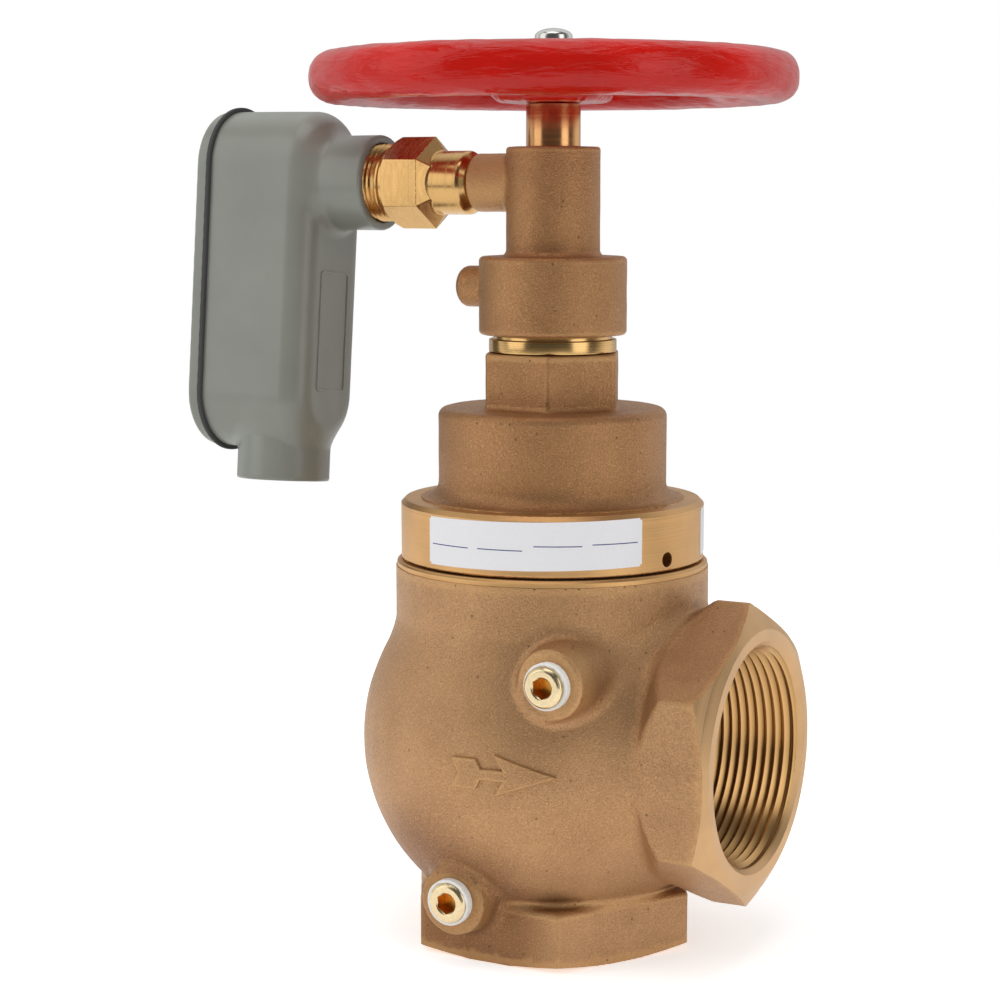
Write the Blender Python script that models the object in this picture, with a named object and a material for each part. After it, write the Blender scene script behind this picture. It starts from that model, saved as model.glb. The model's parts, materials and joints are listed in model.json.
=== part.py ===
"""Angle pattern pressure reducing valve for a fire hose, with a supervisory switch on its bonnet.

Units are metres and +Z is up. The valve stands on its inlet face, at Z = 0. Everything is modelled
round the valve's own axis and hangs on an empty that puts the middle of the whole object at X = 0.
The outlet points along +X, the switch housing's branch and its conduit body along -X, and the two
gauge plugs along -Y.
"""

import math

import bmesh
import bpy

# Clearances, chamfers and cutter overruns
SEAT_GAP = 0.0003
RUNNING_GAP = 0.0004
BORE_CHAMFER = 0.0015
CUT_OVERRUN = 0.0015

# Facets of a full circle: large, middle and small round pieces
LARGE_ROUND = 32
MIDDLE_ROUND = 20
SMALL_ROUND = 10
RIM_ROUND = 44
RIM_SIDES = 14
SPOKE_SIDES = 8

# Pipe sockets of the cast body
PIPE_BORE_RADIUS = 0.0365
PIPE_BORE_DEPTH = 0.026
INLET_HEX_WALL = 0.008
INLET_HEX_HEIGHT = 0.020
INLET_FACE_WIDTH = 0.012
INLET_CHAMFER_HEIGHT = 0.0021
OUTLET_REACH = 0.0766
OUTLET_RISE = 0.0003
OUTLET_HEX_WALL = 0.00675
OUTLET_HEX_LENGTH = 0.013
OUTLET_FACE_WIDTH = 0.0055
OUTLET_CHAMFER_DEPTH = 0.004
OUTLET_BACK_SLOPE = 0.008
OUTLET_BORE_DEPTH = 0.031
NECK_WALL = 0.0065
NECK_START = 0.017

# Cast body: a bulb between the inlet and a turned collar
BODY_HEIGHT = 0.129
COLLAR_LENGTH = 0.0206
COLLAR_STEP = 0.0018
BULB_SWELL = 0.0118
BULB_FOOT = 0.012
BULB_CENTRE_RISE = 0.0078
BULB_WALL = 0.006
SEAT_WEB = 0.008
ROOF_THICKNESS = 0.008
BONNET_THREAD_RADIUS = 0.045
BONNET_THREAD_DEPTH = 0.017
GUIDE_LEDGE = 0.005

# Gauge plugs: size, and the place and boss of each
PLUG_RADIUS = 0.0067
PLUG_LENGTH = 0.016
PLUG_CHAMFER = 0.00075
PLUG_SOCKET_FLATS = 0.00635
PLUG_SOCKET_DEPTH = 0.005
PLUG_BOSS_WALL = 0.0038
PLUG_BOSS_FLARE = 0.005
PLUG_BOSS_DEPTH = 0.022
PLUG_BOSS_ROUND = 0.0015
TAPE_THICKNESS = 0.0007
TAPE_WIDTH = 0.0028
UPPER_PLUG_X = 0.0285
UPPER_PLUG_RISE = 0.030
UPPER_BOSS_SETBACK = 0.0074
UPPER_PLUG_STICKS_OUT = 0.005
LOWER_PLUG_X = -0.008
LOWER_PLUG_RISE = 0.0025
LOWER_BOSS_SETBACK = 0.0097
LOWER_PLUG_STICKS_OUT = 0.004

# Seat ring and the disc assembly that closes on it
SEAT_BORE_RADIUS = 0.024
SEAT_SPIGOT_WALL = 0.0022
SEAT_FLANGE_WIDTH = 0.0048
SEAT_FLANGE_HEIGHT = 0.0045
SEAT_RIM_HEIGHT = 0.001
SEAT_RIM_WIDTH = 0.003
DISC_THICKNESS = 0.0057
DISC_OVERLAP = 0.0017
HOLDER_WALL = 0.003
HOLDER_HEIGHT = 0.009
HOLDER_LIP = 0.0045
HOLDER_ROUND = 0.0015
DISC_WASHER_INSET = 0.008
DISC_WASHER_THICKNESS = 0.003
DISC_SCREW_RADIUS = 0.0036
DISC_SCREW_LENGTH = 0.018
DISC_SCREW_HEAD_FLATS = 0.013
DISC_SCREW_HEAD_HEIGHT = 0.005
DISC_SCREW_SPARE = 0.001

# Regulating piston, its guide plate and its spring
GUIDE_PLATE_THICKNESS = 0.0057
GUIDE_HUB_WALL = 0.006
GUIDE_HUB_LENGTH = 0.012
GUIDE_HUB_FILLET = 0.003
GUIDE_PORT_RADIUS = 0.003
GUIDE_PORT_INSET = 0.012
GUIDE_PORT_COUNT = 4
ROD_RADIUS = 0.012
ROD_FILLET = 0.003
SPRING_WIRE_RADIUS = 0.00225
SPRING_INSET = 0.0067
SPRING_TURNS = 4
SPRING_SPACE = 0.026
PISTON_RADIUS = 0.0307
PISTON_THICKNESS = 0.009
PISTON_SEAL_GROOVE = 0.003
PISTON_SEAL_WIDTH = 0.0024
PISTON_CLEARANCE = 0.0003
LIFT = 0.019
LIFT_SPARE = 0.0012

# Bonnet: a machined flange, a cast dome and a hexagonal neck
FLANGE_OVERHANG = 0.0058
FLANGE_GAP = 0.0012
FLANGE_HEIGHT = 0.0188
FLANGE_CHAMFER = 0.0015
DOME_WALL = 0.0072
DOME_HEIGHT = 0.030
DOME_FOOT_FILLET = 0.005
DOME_TOP_FILLET = 0.0025
BONNET_SKIRT_WALL = 0.007
NECK_HEX_WALL = 0.0072
NECK_HEX_TURN = 24.0
NECK_HEX_HEIGHT = 0.019
SPANNER_HOLE_RADIUS = 0.0024
SPANNER_HOLE_DEPTH = 0.008
SPANNER_HOLE_RISE = 0.0045
SPANNER_HOLE_ANGLE = -13.5
SEAL_WIDTH = 0.0035
PACKING_WIDTH = 0.0053
PACKING_BOX_DEPTH = 0.021

# Stem, its nut and its packing
STEM_RADIUS = 0.009
STEM_HOLE_CLEARANCE = 0.003
STEM_FOOT_WIDTH = 0.003
STEM_FOOT_THICKNESS = 0.0042
THRUST_CAP_THICKNESS = 0.0029
THRUST_RECESS_WIDTH = 0.0033
THRUST_RECESS_DEPTH = 0.008
STEM_NUT_LENGTH = 0.009
PACKING_LENGTH = 0.007
PACKING_NUT_RIM = 0.0014
PACKING_NUT_FLANGE = 0.0042
CAM_WAIST_LENGTH = 0.003
STEM_SQUARE = 0.011
STEM_END_RADIUS = 0.0039

# Switch housing
HOUSING_GAP = 0.0014
HOUSING_COLLAR_HEIGHT = 0.0259
HOUSING_COLLAR_WALL = 0.0047
HOUSING_SPIGOT_WALL = 0.0056
HOUSING_SPIGOT_DEPTH = 0.009
HOUSING_TUBE_HEIGHT = 0.0359
HOUSING_TUBE_WALL = 0.0056
HOUSING_STEM_CLEARANCE = 0.001
HOUSING_FILLET = 0.0015
BRANCH_RISE = 0.0242
BRANCH_WALL = 0.0029
BRANCH_LENGTH = 0.0126
BRANCH_BORE_RADIUS = 0.0068
BOSS_RISE = 0.0154
BOSS_RADIUS = 0.0069
BOSS_LENGTH = 0.0102
BOSS_FILLET = 0.0045

# Adaptor between the branch and the conduit body
ADAPTOR_NOSE_RIM = 0.001
ADAPTOR_NOSE_CHAMFER = 0.0024
ADAPTOR_NOSE_LENGTH = 0.0128
ADAPTOR_CONE_LENGTH = 0.0055
ADAPTOR_HEX_LENGTH = 0.0123
ADAPTOR_HEX_FLATS = 0.027
ADAPTOR_THREAD_RADIUS = 0.0131
ADAPTOR_THREAD_LENGTH = 0.0189
ADAPTOR_SPIGOT_LENGTH = 0.011
ADAPTOR_SPRING_BORE = 0.009
ADAPTOR_FLOOR_DEPTH = 0.0032

# Plunger that the stem's cam pushes out, and its return spring
PLUNGER_RADIUS = 0.004
PLUNGER_TRAVEL = 0.003
PLUNGER_COLLAR_WIDTH = 0.0035
PLUNGER_COLLAR_LENGTH = 0.002
PLUNGER_COLLAR_SPACE = 0.002
RETAINER_INSET = 0.008
RETAINER_LENGTH = 0.0025
RETURN_WIRE_RADIUS = 0.0006
RETURN_SPRING_COIL = 0.0022
RETURN_SPRING_TURNS = 5

# Conduit body with its hub, cover and gasket. Its bottom leans towards -Y
CONDUIT_LEAN = 5.6
HUB_WALL = 0.00275
HUB_CHAMFER = 0.00075
HUB_LENGTH = 0.0182
THREAD_SHOWING = 0.0067
HUB_THROAT_STEP = 0.0025
CONDUIT_DEPTH = 0.040
CONDUIT_HALF_WIDTH = 0.020
CONDUIT_DRAFT = 0.0005
CONDUIT_LENGTH = 0.1185
CONDUIT_TOP = 0.025
CONDUIT_FRONT_ROUND = 0.009
CONDUIT_WALL = 0.003
END_HUB_INSET = 0.0180
END_HUB_LENGTH = 0.0108
GASKET_THICKNESS = 0.0012
GASKET_MARGIN = 0.0102
GASKET_OVERHANG = 0.0015
COVER_THICKNESS = 0.0048
COVER_ROUND = 0.001
COVER_ROUND_STEP = 0.0003
COVER_SCREW_RADIUS = 0.0019
COVER_SCREW_HEAD_RADIUS = 0.0040
COVER_SCREW_HEAD_HEIGHT = 0.0017
COVER_SCREW_HEAD_ROUND = 0.0005
COVER_SCREW_SLOT = 0.0008
COVER_SCREW_INSET = 0.0055
COVER_BOSS_WALL = 0.0023
COVER_BOSS_LENGTH = 0.0085

# Limit switch on its bracket inside the conduit body
SWITCH_INSET = 0.011
SWITCH_DEPTH = 0.016
SWITCH_WIDTH = 0.0103
SWITCH_HEIGHT = 0.028
SWITCH_RISE = 0.008
BUTTON_RADIUS = 0.0026
BUTTON_ROUND = 0.0009
BUTTON_LENGTH = 0.0065
BUTTON_SHOWS = 0.0038
TERMINAL_COUNT = 3
TERMINAL_LENGTH = 0.006
TERMINAL_WIDTH = 0.0048
TERMINAL_THICKNESS = 0.0008
BRACKET_THICKNESS = 0.0015
BRACKET_EAR_DROP = 0.018
SWITCH_SCREW_RADIUS = 0.0014
SWITCH_SCREW_HEAD_RADIUS = 0.0026
SWITCH_SCREW_HEAD_HEIGHT = 0.0014
SWITCH_SCREW_HEAD_ROUND = 0.0007
SWITCH_SCREW_INSET = 0.003

# Handwheel
RIM_RADIUS = 0.0719
RIM_HALF_WIDTH = 0.0084
RIM_HALF_HEIGHT = 0.0079
RIM_RISE = 0.0084
SPOKE_COUNT = 5
SPOKE_HALF_WIDTH = 0.0065
SPOKE_HALF_HEIGHT = 0.0045
SPOKE_TURN = 54.0
WHEEL_CLEARANCE = 0.0143
WHEEL_HUB_WALL = 0.0142
WHEEL_HUB_HEIGHT = 0.018
WHEEL_HUB_FILLET = 0.003
WHEEL_WASHER_RADIUS = 0.010
WHEEL_WASHER_THICKNESS = 0.0014
WHEEL_NUT_FLATS = 0.012
WHEEL_NUT_HEIGHT = 0.0042
WHEEL_NUT_DOME = 0.002
WHEEL_NUT_SHOULDER = 0.0008
WHEEL_NUT_BEVEL = 0.0012
WHEEL_NUT_CROWN = 0.0003

# Radii and widths worked out from the sizes above, from the stem outwards
STEM_BORE_RADIUS = STEM_RADIUS + RUNNING_GAP
STEM_HOLE_RADIUS = STEM_RADIUS + STEM_HOLE_CLEARANCE
STEM_FOOT_RADIUS = STEM_RADIUS + STEM_FOOT_WIDTH
THRUST_RECESS_RADIUS = STEM_FOOT_RADIUS + THRUST_RECESS_WIDTH
CAM_WAIST_RADIUS = STEM_RADIUS - PLUNGER_TRAVEL
PACKING_BOX_RADIUS = STEM_RADIUS + PACKING_WIDTH
NECK_HEX_FLATS = 2 * (PACKING_BOX_RADIUS + NECK_HEX_WALL)
HOUSING_BORE_RADIUS = STEM_RADIUS + HOUSING_STEM_CLEARANCE
HOUSING_TUBE_RADIUS = HOUSING_BORE_RADIUS + HOUSING_TUBE_WALL
HOUSING_SPIGOT_RADIUS = PACKING_BOX_RADIUS + HOUSING_SPIGOT_WALL
HOUSING_COLLAR_RADIUS = HOUSING_SPIGOT_RADIUS + HOUSING_COLLAR_WALL
PACKING_NUT_RADIUS = HOUSING_SPIGOT_RADIUS + PACKING_NUT_RIM
BONNET_BORE_RADIUS = PISTON_RADIUS + PISTON_CLEARANCE
DOME_RADIUS = BONNET_BORE_RADIUS + DOME_WALL
SPRING_RADIUS = PISTON_RADIUS - SPRING_INSET
GUIDE_HUB_RADIUS = ROD_RADIUS + GUIDE_HUB_WALL
GUIDE_PORT_CIRCLE = BONNET_THREAD_RADIUS - GUIDE_PORT_INSET
FLANGE_RADIUS = BONNET_THREAD_RADIUS + FLANGE_OVERHANG
COLLAR_RADIUS = FLANGE_RADIUS + COLLAR_STEP
BULB_RADIUS = COLLAR_RADIUS + BULB_SWELL
SEAT_SPIGOT_RADIUS = SEAT_BORE_RADIUS + SEAT_SPIGOT_WALL
SEAT_FLANGE_RADIUS = SEAT_SPIGOT_RADIUS + SEAT_FLANGE_WIDTH
SEAT_RIM_RADIUS = SEAT_BORE_RADIUS + SEAT_RIM_WIDTH
DISC_RADIUS = SEAT_RIM_RADIUS + DISC_OVERLAP
DISC_WASHER_RADIUS = SEAT_BORE_RADIUS - DISC_WASHER_INSET
HOLDER_RADIUS = DISC_RADIUS + SEAT_GAP + HOLDER_WALL
INLET_FLATS = 2 * (PIPE_BORE_RADIUS + INLET_HEX_WALL)
INLET_FACE_RADIUS = PIPE_BORE_RADIUS + INLET_FACE_WIDTH
OUTLET_FLATS = 2 * (PIPE_BORE_RADIUS + OUTLET_HEX_WALL)
OUTLET_FACE_RADIUS = PIPE_BORE_RADIUS + OUTLET_FACE_WIDTH
NECK_RADIUS = PIPE_BORE_RADIUS + NECK_WALL
TAPE_INNER_RADIUS = PLUG_RADIUS + SEAT_GAP
TAPE_RADIUS = TAPE_INNER_RADIUS + TAPE_THICKNESS
PLUG_BOSS_RADIUS = PLUG_RADIUS + PLUG_BOSS_WALL
UPPER_BOSS_REACH = BULB_RADIUS - UPPER_BOSS_SETBACK
LOWER_BOSS_REACH = BULB_RADIUS - LOWER_BOSS_SETBACK
WHEEL_HUB_RADIUS = STEM_SQUARE / 2 + WHEEL_HUB_WALL
WHEEL_RADIUS = RIM_RADIUS + RIM_HALF_WIDTH

# Heights worked out from the sizes above, from the inlet face upwards
WEB_TOP = PIPE_BORE_DEPTH + SEAT_WEB
SEAT_FLANGE_BOTTOM = WEB_TOP + SEAT_GAP
SEAT_FLANGE_TOP = SEAT_FLANGE_BOTTOM + SEAT_FLANGE_HEIGHT
SEAT_TOP = SEAT_FLANGE_TOP + SEAT_RIM_HEIGHT
DISC_BOTTOM = SEAT_TOP + SEAT_GAP
DISC_TOP = DISC_BOTTOM + DISC_THICKNESS
HOLDER_FLOOR = DISC_TOP + SEAT_GAP
HOLDER_TOP = HOLDER_FLOOR + HOLDER_HEIGHT
COLLAR_BOTTOM = BODY_HEIGHT - COLLAR_LENGTH
BULB_CENTRE = (COLLAR_BOTTOM + BULB_FOOT) / 2 + BULB_CENTRE_RISE
BULB_HALF_HEIGHT = (COLLAR_BOTTOM - BULB_CENTRE) / math.sqrt(1 - (COLLAR_RADIUS / BULB_RADIUS) ** 2)
OUTLET_CENTRE = BULB_CENTRE + OUTLET_RISE
UPPER_PLUG_HEIGHT = BULB_CENTRE + UPPER_PLUG_RISE
LOWER_PLUG_HEIGHT = INLET_HEX_HEIGHT + LOWER_PLUG_RISE
BONNET_BORE_FLOOR = BODY_HEIGHT - BONNET_THREAD_DEPTH
ROOF_BOTTOM = BONNET_BORE_FLOOR - ROOF_THICKNESS
GUIDE_BOTTOM = BONNET_BORE_FLOOR + SEAT_GAP
GUIDE_TOP = GUIDE_BOTTOM + GUIDE_PLATE_THICKNESS
SKIRT_BOTTOM = GUIDE_TOP + SEAT_GAP
PISTON_BOTTOM = GUIDE_TOP + SPRING_SPACE
PISTON_TOP = PISTON_BOTTOM + PISTON_THICKNESS
THRUST_FLOOR = PISTON_TOP - THRUST_RECESS_DEPTH
STEM_BOTTOM = THRUST_FLOOR + SEAT_GAP
STEM_FOOT_TOP = STEM_BOTTOM + STEM_FOOT_THICKNESS
THRUST_CAP_BOTTOM = STEM_FOOT_TOP + SEAT_GAP
BONNET_CEILING = PISTON_TOP + LIFT + LIFT_SPARE
FLANGE_BOTTOM = BODY_HEIGHT + FLANGE_GAP
FLANGE_TOP = FLANGE_BOTTOM + FLANGE_HEIGHT
DOME_TOP = FLANGE_TOP + DOME_HEIGHT
NECK_HEX_TOP = DOME_TOP + NECK_HEX_HEIGHT
PACKING_BOX_FLOOR = NECK_HEX_TOP - PACKING_BOX_DEPTH
STEM_NUT_BOTTOM = PACKING_BOX_FLOOR + SEAT_GAP
STEM_NUT_TOP = STEM_NUT_BOTTOM + STEM_NUT_LENGTH
PACKING_BOTTOM = STEM_NUT_TOP + SEAT_GAP
PACKING_TOP = PACKING_BOTTOM + PACKING_LENGTH
PACKING_NUT_BOTTOM = NECK_HEX_TOP + SEAT_GAP
PACKING_NUT_TOP = PACKING_NUT_BOTTOM + PACKING_NUT_FLANGE
HOUSING_BOTTOM = PACKING_NUT_TOP + HOUSING_GAP
HOUSING_SHOULDER = HOUSING_BOTTOM + HOUSING_SPIGOT_DEPTH
HOUSING_COLLAR_TOP = HOUSING_BOTTOM + HOUSING_COLLAR_HEIGHT
HOUSING_TOP = HOUSING_COLLAR_TOP + HOUSING_TUBE_HEIGHT
BOSS_HEIGHT = HOUSING_BOTTOM + BOSS_RISE
BRANCH_HEIGHT = HOUSING_COLLAR_TOP + BRANCH_RISE
CAM_TOP = BRANCH_HEIGHT
CAM_BOTTOM = CAM_TOP - LIFT
CAM_RUN_OUT = CAM_TOP + CAM_WAIST_LENGTH
WHEEL_HUB_BOTTOM = HOUSING_TOP + WHEEL_CLEARANCE
WHEEL_HUB_TOP = WHEEL_HUB_BOTTOM + WHEEL_HUB_HEIGHT
RIM_CENTRE = WHEEL_HUB_BOTTOM + RIM_RISE
WHEEL_WASHER_BOTTOM = WHEEL_HUB_TOP + SEAT_GAP
WHEEL_NUT_BOTTOM = WHEEL_WASHER_BOTTOM + WHEEL_WASHER_THICKNESS + SEAT_GAP

# Distances out along the branch from the valve axis, and radii round it
BRANCH_RADIUS = BRANCH_BORE_RADIUS + BRANCH_WALL
BRANCH_REACH = HOUSING_TUBE_RADIUS + BRANCH_LENGTH
BOSS_REACH = HOUSING_COLLAR_RADIUS + BOSS_LENGTH
ADAPTOR_NOSE_RADIUS = BRANCH_RADIUS + ADAPTOR_NOSE_RIM
ADAPTOR_SPIGOT_RADIUS = BRANCH_BORE_RADIUS - SEAT_GAP
ADAPTOR_START = BRANCH_REACH + SEAT_GAP
ADAPTOR_TAIL = ADAPTOR_START - ADAPTOR_SPIGOT_LENGTH
ADAPTOR_CONE_START = ADAPTOR_START + ADAPTOR_NOSE_LENGTH
ADAPTOR_HEX_START = ADAPTOR_CONE_START + ADAPTOR_CONE_LENGTH
ADAPTOR_BORE_FLOOR = ADAPTOR_HEX_START + ADAPTOR_FLOOR_DEPTH
ADAPTOR_HEX_END = ADAPTOR_HEX_START + ADAPTOR_HEX_LENGTH
ADAPTOR_END = ADAPTOR_HEX_END + ADAPTOR_THREAD_LENGTH
HUB_BORE_RADIUS = ADAPTOR_THREAD_RADIUS + RUNNING_GAP
HUB_THROAT_RADIUS = HUB_BORE_RADIUS - HUB_THROAT_STEP
HUB_RADIUS = HUB_BORE_RADIUS + HUB_WALL
HUB_START = ADAPTOR_HEX_END + THREAD_SHOWING
CONDUIT_FRONT = HUB_START + HUB_LENGTH
CONDUIT_BACK = CONDUIT_FRONT + CONDUIT_DEPTH
CONDUIT_MIDDLE = CONDUIT_TOP - CONDUIT_LENGTH / 2
CONDUIT_FLAT = CONDUIT_LENGTH / 2 - CONDUIT_HALF_WIDTH
END_HUB_CENTRE = CONDUIT_FRONT + END_HUB_INSET
END_HUB_DROP = CONDUIT_LENGTH - CONDUIT_TOP + END_HUB_LENGTH
GASKET_START = CONDUIT_BACK + SEAT_GAP
COVER_START = GASKET_START + GASKET_THICKNESS + SEAT_GAP
COVER_END = COVER_START + COVER_THICKNESS
COVER_BOSS_RADIUS = COVER_SCREW_RADIUS + COVER_BOSS_WALL
SWITCH_START = CONDUIT_FRONT + SWITCH_INSET
PLUNGER_BORE_RADIUS = PLUNGER_RADIUS + RUNNING_GAP
PLUNGER_TIP = CAM_WAIST_RADIUS + SEAT_GAP + 2 * RUNNING_GAP
PLUNGER_END = SWITCH_START - BUTTON_SHOWS
PLUNGER_COLLAR_START = ADAPTOR_BORE_FLOOR + PLUNGER_COLLAR_SPACE
PLUNGER_COLLAR_RADIUS = PLUNGER_RADIUS + PLUNGER_COLLAR_WIDTH
RETAINER_START = ADAPTOR_END - RETAINER_INSET
RETURN_SPRING_RADIUS = PLUNGER_RADIUS + RETURN_SPRING_COIL
SWITCH_SCREW_SPACING = SWITCH_HEIGHT - 2 * SWITCH_SCREW_INSET
VALVE_AXIS_X = (COVER_END - WHEEL_RADIUS) / 2

UP = (0.0, 0.0, 0.0)
ALONG_PLUS_X = (0.0, math.radians(90), 0.0)
ALONG_MINUS_X = (0.0, math.radians(-90), 0.0)
ALONG_MINUS_Y = (math.radians(90), 0.0, 0.0)
SHARP_ANGLE = math.radians(32)


def new_material(name, colour, roughness, metallic):
    """Principled material of one plain colour."""
    material = bpy.data.materials.new(name)
    material.use_nodes = True
    shader = material.node_tree.nodes["Principled BSDF"]
    shader.inputs["Base Color"].default_value = (*colour, 1.0)
    shader.inputs["Roughness"].default_value = roughness
    shader.inputs["Metallic"].default_value = metallic
    material.diffuse_color = (*colour, 1.0)
    return material


def finish_object(name, bm, parent, material=None, location=(0, 0, 0), rotation=UP):
    """Turns a bmesh into an object on its parent, smooth but for its real edges."""
    bmesh.ops.recalc_face_normals(bm, faces=bm.faces)
    mesh = bpy.data.meshes.new(name)
    bm.to_mesh(mesh)
    bm.free()
    mesh.shade_smooth()
    mesh.set_sharp_from_angle(angle=SHARP_ANGLE)
    piece = bpy.data.objects.new(name, mesh)
    bpy.context.scene.collection.objects.link(piece)
    piece.parent = parent
    piece.location = location
    piece.rotation_euler = rotation
    if material is not None:
        mesh.materials.append(material)
    return piece


def new_empty(name, parent=None, location=(0, 0, 0), rotation=UP):
    """Empty that carries a group of pieces."""
    empty = bpy.data.objects.new(name, None)
    bpy.context.scene.collection.objects.link(empty)
    empty.parent = parent
    empty.location = location
    empty.rotation_euler = rotation
    return empty


def rounded(corners, steps=2):
    """Outline through corners given as (across, up) or (across, up, fillet radius)."""
    points = []
    count = len(corners)
    for index, corner in enumerate(corners):
        if len(corner) == 2:
            points.append(corner)
            continue
        across, up, radius = corner
        before = corners[index - 1]
        after = corners[(index + 1) % count]
        towards = []
        for neighbour in (before, after):
            run = neighbour[0] - across
            rise = neighbour[1] - up
            length = math.hypot(run, rise)
            towards.append((run / length, rise / length))
        (ax, ay), (bx, by) = towards
        half = math.acos(max(-1.0, min(1.0, ax * bx + ay * by))) / 2
        setback = radius / math.tan(half)
        middle = math.hypot(ax + bx, ay + by)
        centre_x = across + (ax + bx) / middle * radius / math.sin(half)
        centre_y = up + (ay + by) / middle * radius / math.sin(half)
        start = math.atan2(up + ay * setback - centre_y, across + ax * setback - centre_x)
        end = math.atan2(up + by * setback - centre_y, across + bx * setback - centre_x)
        sweep = (end - start + math.pi) % (2 * math.pi) - math.pi
        for step in range(steps + 1):
            angle = start + sweep * step / steps
            points.append((centre_x + radius * math.cos(angle), centre_y + radius * math.sin(angle)))
    return points


def bulb_outline(radius, half_height, low, high, steps):
    """Stretch of the bulb's ellipse between two heights, from the bottom up."""
    points = []
    for step in range(steps + 1):
        height = low + (high - low) * step / steps
        share = (height - BULB_CENTRE) / half_height
        points.append((radius * math.sqrt(1 - share * share), height))
    return points


def turned(name, outline, parent, material=None, sides=LARGE_ROUND, location=(0, 0, 0), rotation=UP):
    """Solid of revolution of a closed (radius, height) outline about its own Z axis."""
    bm = bmesh.new()
    verts = [bm.verts.new((radius, 0, height)) for radius, height in outline]
    edges = []
    for index, vert in enumerate(verts):
        previous = verts[index - 1]
        if vert.co.x > 0 or previous.co.x > 0:
            edges.append(bm.edges.new((previous, vert)))
    bmesh.ops.spin(bm, geom=verts + edges, cent=(0, 0, 0), axis=(0, 0, 1),
                   angle=math.tau, steps=sides, use_merge=True)
    bmesh.ops.remove_doubles(bm, verts=bm.verts, dist=0.000001)
    return finish_object(name, bm, parent, material, location, rotation)


def prism(name, outline, low, high, parent, material=None, location=(0, 0, 0), rotation=UP):
    """Flat outline extruded along its own Z axis."""
    bm = bmesh.new()
    face = bm.faces.new([bm.verts.new((across, along, low)) for across, along in outline])
    raised = bmesh.ops.extrude_face_region(bm, geom=[face])
    lifted = [item for item in raised["geom"] if isinstance(item, bmesh.types.BMVert)]
    bmesh.ops.translate(bm, verts=lifted, vec=(0, 0, high - low))
    return finish_object(name, bm, parent, material, location, rotation)


def lofted(name, rings, parent, material=None, location=(0, 0, 0), rotation=UP):
    """Closed skin through rings of equally many points, capped at both ends."""
    bm = bmesh.new()
    loops = [[bm.verts.new(point) for point in ring] for ring in rings]
    for lower, upper in zip(loops, loops[1:]):
        for index in range(len(lower)):
            bm.faces.new((lower[index - 1], lower[index], upper[index], upper[index - 1]))
    bm.faces.new(loops[0])
    bm.faces.new(loops[-1])
    return finish_object(name, bm, parent, material, location, rotation)


def hexagon(flats, turn=0.0):
    """Corners of a hexagon, the first one at the angle given in degrees."""
    corner = flats / 2 / math.cos(math.radians(30))
    angles = [math.radians(turn + 60 * index) for index in range(6)]
    return [(corner * math.cos(angle), corner * math.sin(angle)) for angle in angles]


def lathe_radius(flats):
    """Radius of a turned guide that clears the corners of a hexagon between its facets."""
    return flats / 2 / math.cos(math.radians(30)) / math.cos(math.pi / LARGE_ROUND) + SEAT_GAP


def rectangle(low_across, high_across, low_along, high_along):
    """Corners of a rectangle."""
    return [(low_across, low_along), (high_across, low_along),
            (high_across, high_along), (low_across, high_along)]


def disc_outline(radius, low, high):
    """Outline of a plain turned cylinder."""
    return [(0, low), (radius, low), (radius, high), (0, high)]


def ring_outline(inner, outer, low, high):
    """Outline of a plain turned ring."""
    return [(inner, low), (outer, low), (outer, high), (inner, high)]


def stadium(half_width, depth, arc_steps=6):
    """Ring of points round the conduit body's long outline, at a distance from the valve axis."""
    points = []
    for end in (1, -1):
        centre = CONDUIT_MIDDLE + end * CONDUIT_FLAT
        for step in range(arc_steps + 1):
            angle = math.pi * step / arc_steps - math.pi / 2
            points.append((centre + end * half_width * math.cos(angle),
                           end * half_width * math.sin(angle), depth))
    return points


def combine(piece, operand, operation):
    """Adds a Boolean step to a piece and keeps its operand as a hidden guide."""
    operand.hide_render = True
    operand.display_type = "WIRE"
    step = piece.modifiers.new(operand.name, "BOOLEAN")
    step.operation = operation
    step.solver = "EXACT"
    step.object = operand


def helix(name, radius, wire_radius, low, high, turns, parent, material):
    """Coil spring of round wire, closed at its two cut ends."""
    curve = bpy.data.curves.new(name, "CURVE")
    curve.dimensions = "3D"
    curve.bevel_depth = wire_radius
    curve.bevel_resolution = 1
    curve.use_fill_caps = True
    steps = 10 * turns
    spline = curve.splines.new("POLY")
    spline.points.add(steps)
    rise = high - low - 2 * wire_radius
    for index in range(steps + 1):
        angle = math.tau * turns * index / steps
        height = low + wire_radius + rise * index / steps
        spline.points[index].co = (radius * math.cos(angle), radius * math.sin(angle), height, 1.0)
    curve.materials.append(material)
    coil = bpy.data.objects.new(name, curve)
    bpy.context.scene.collection.objects.link(coil)
    coil.parent = parent
    return coil


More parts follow.
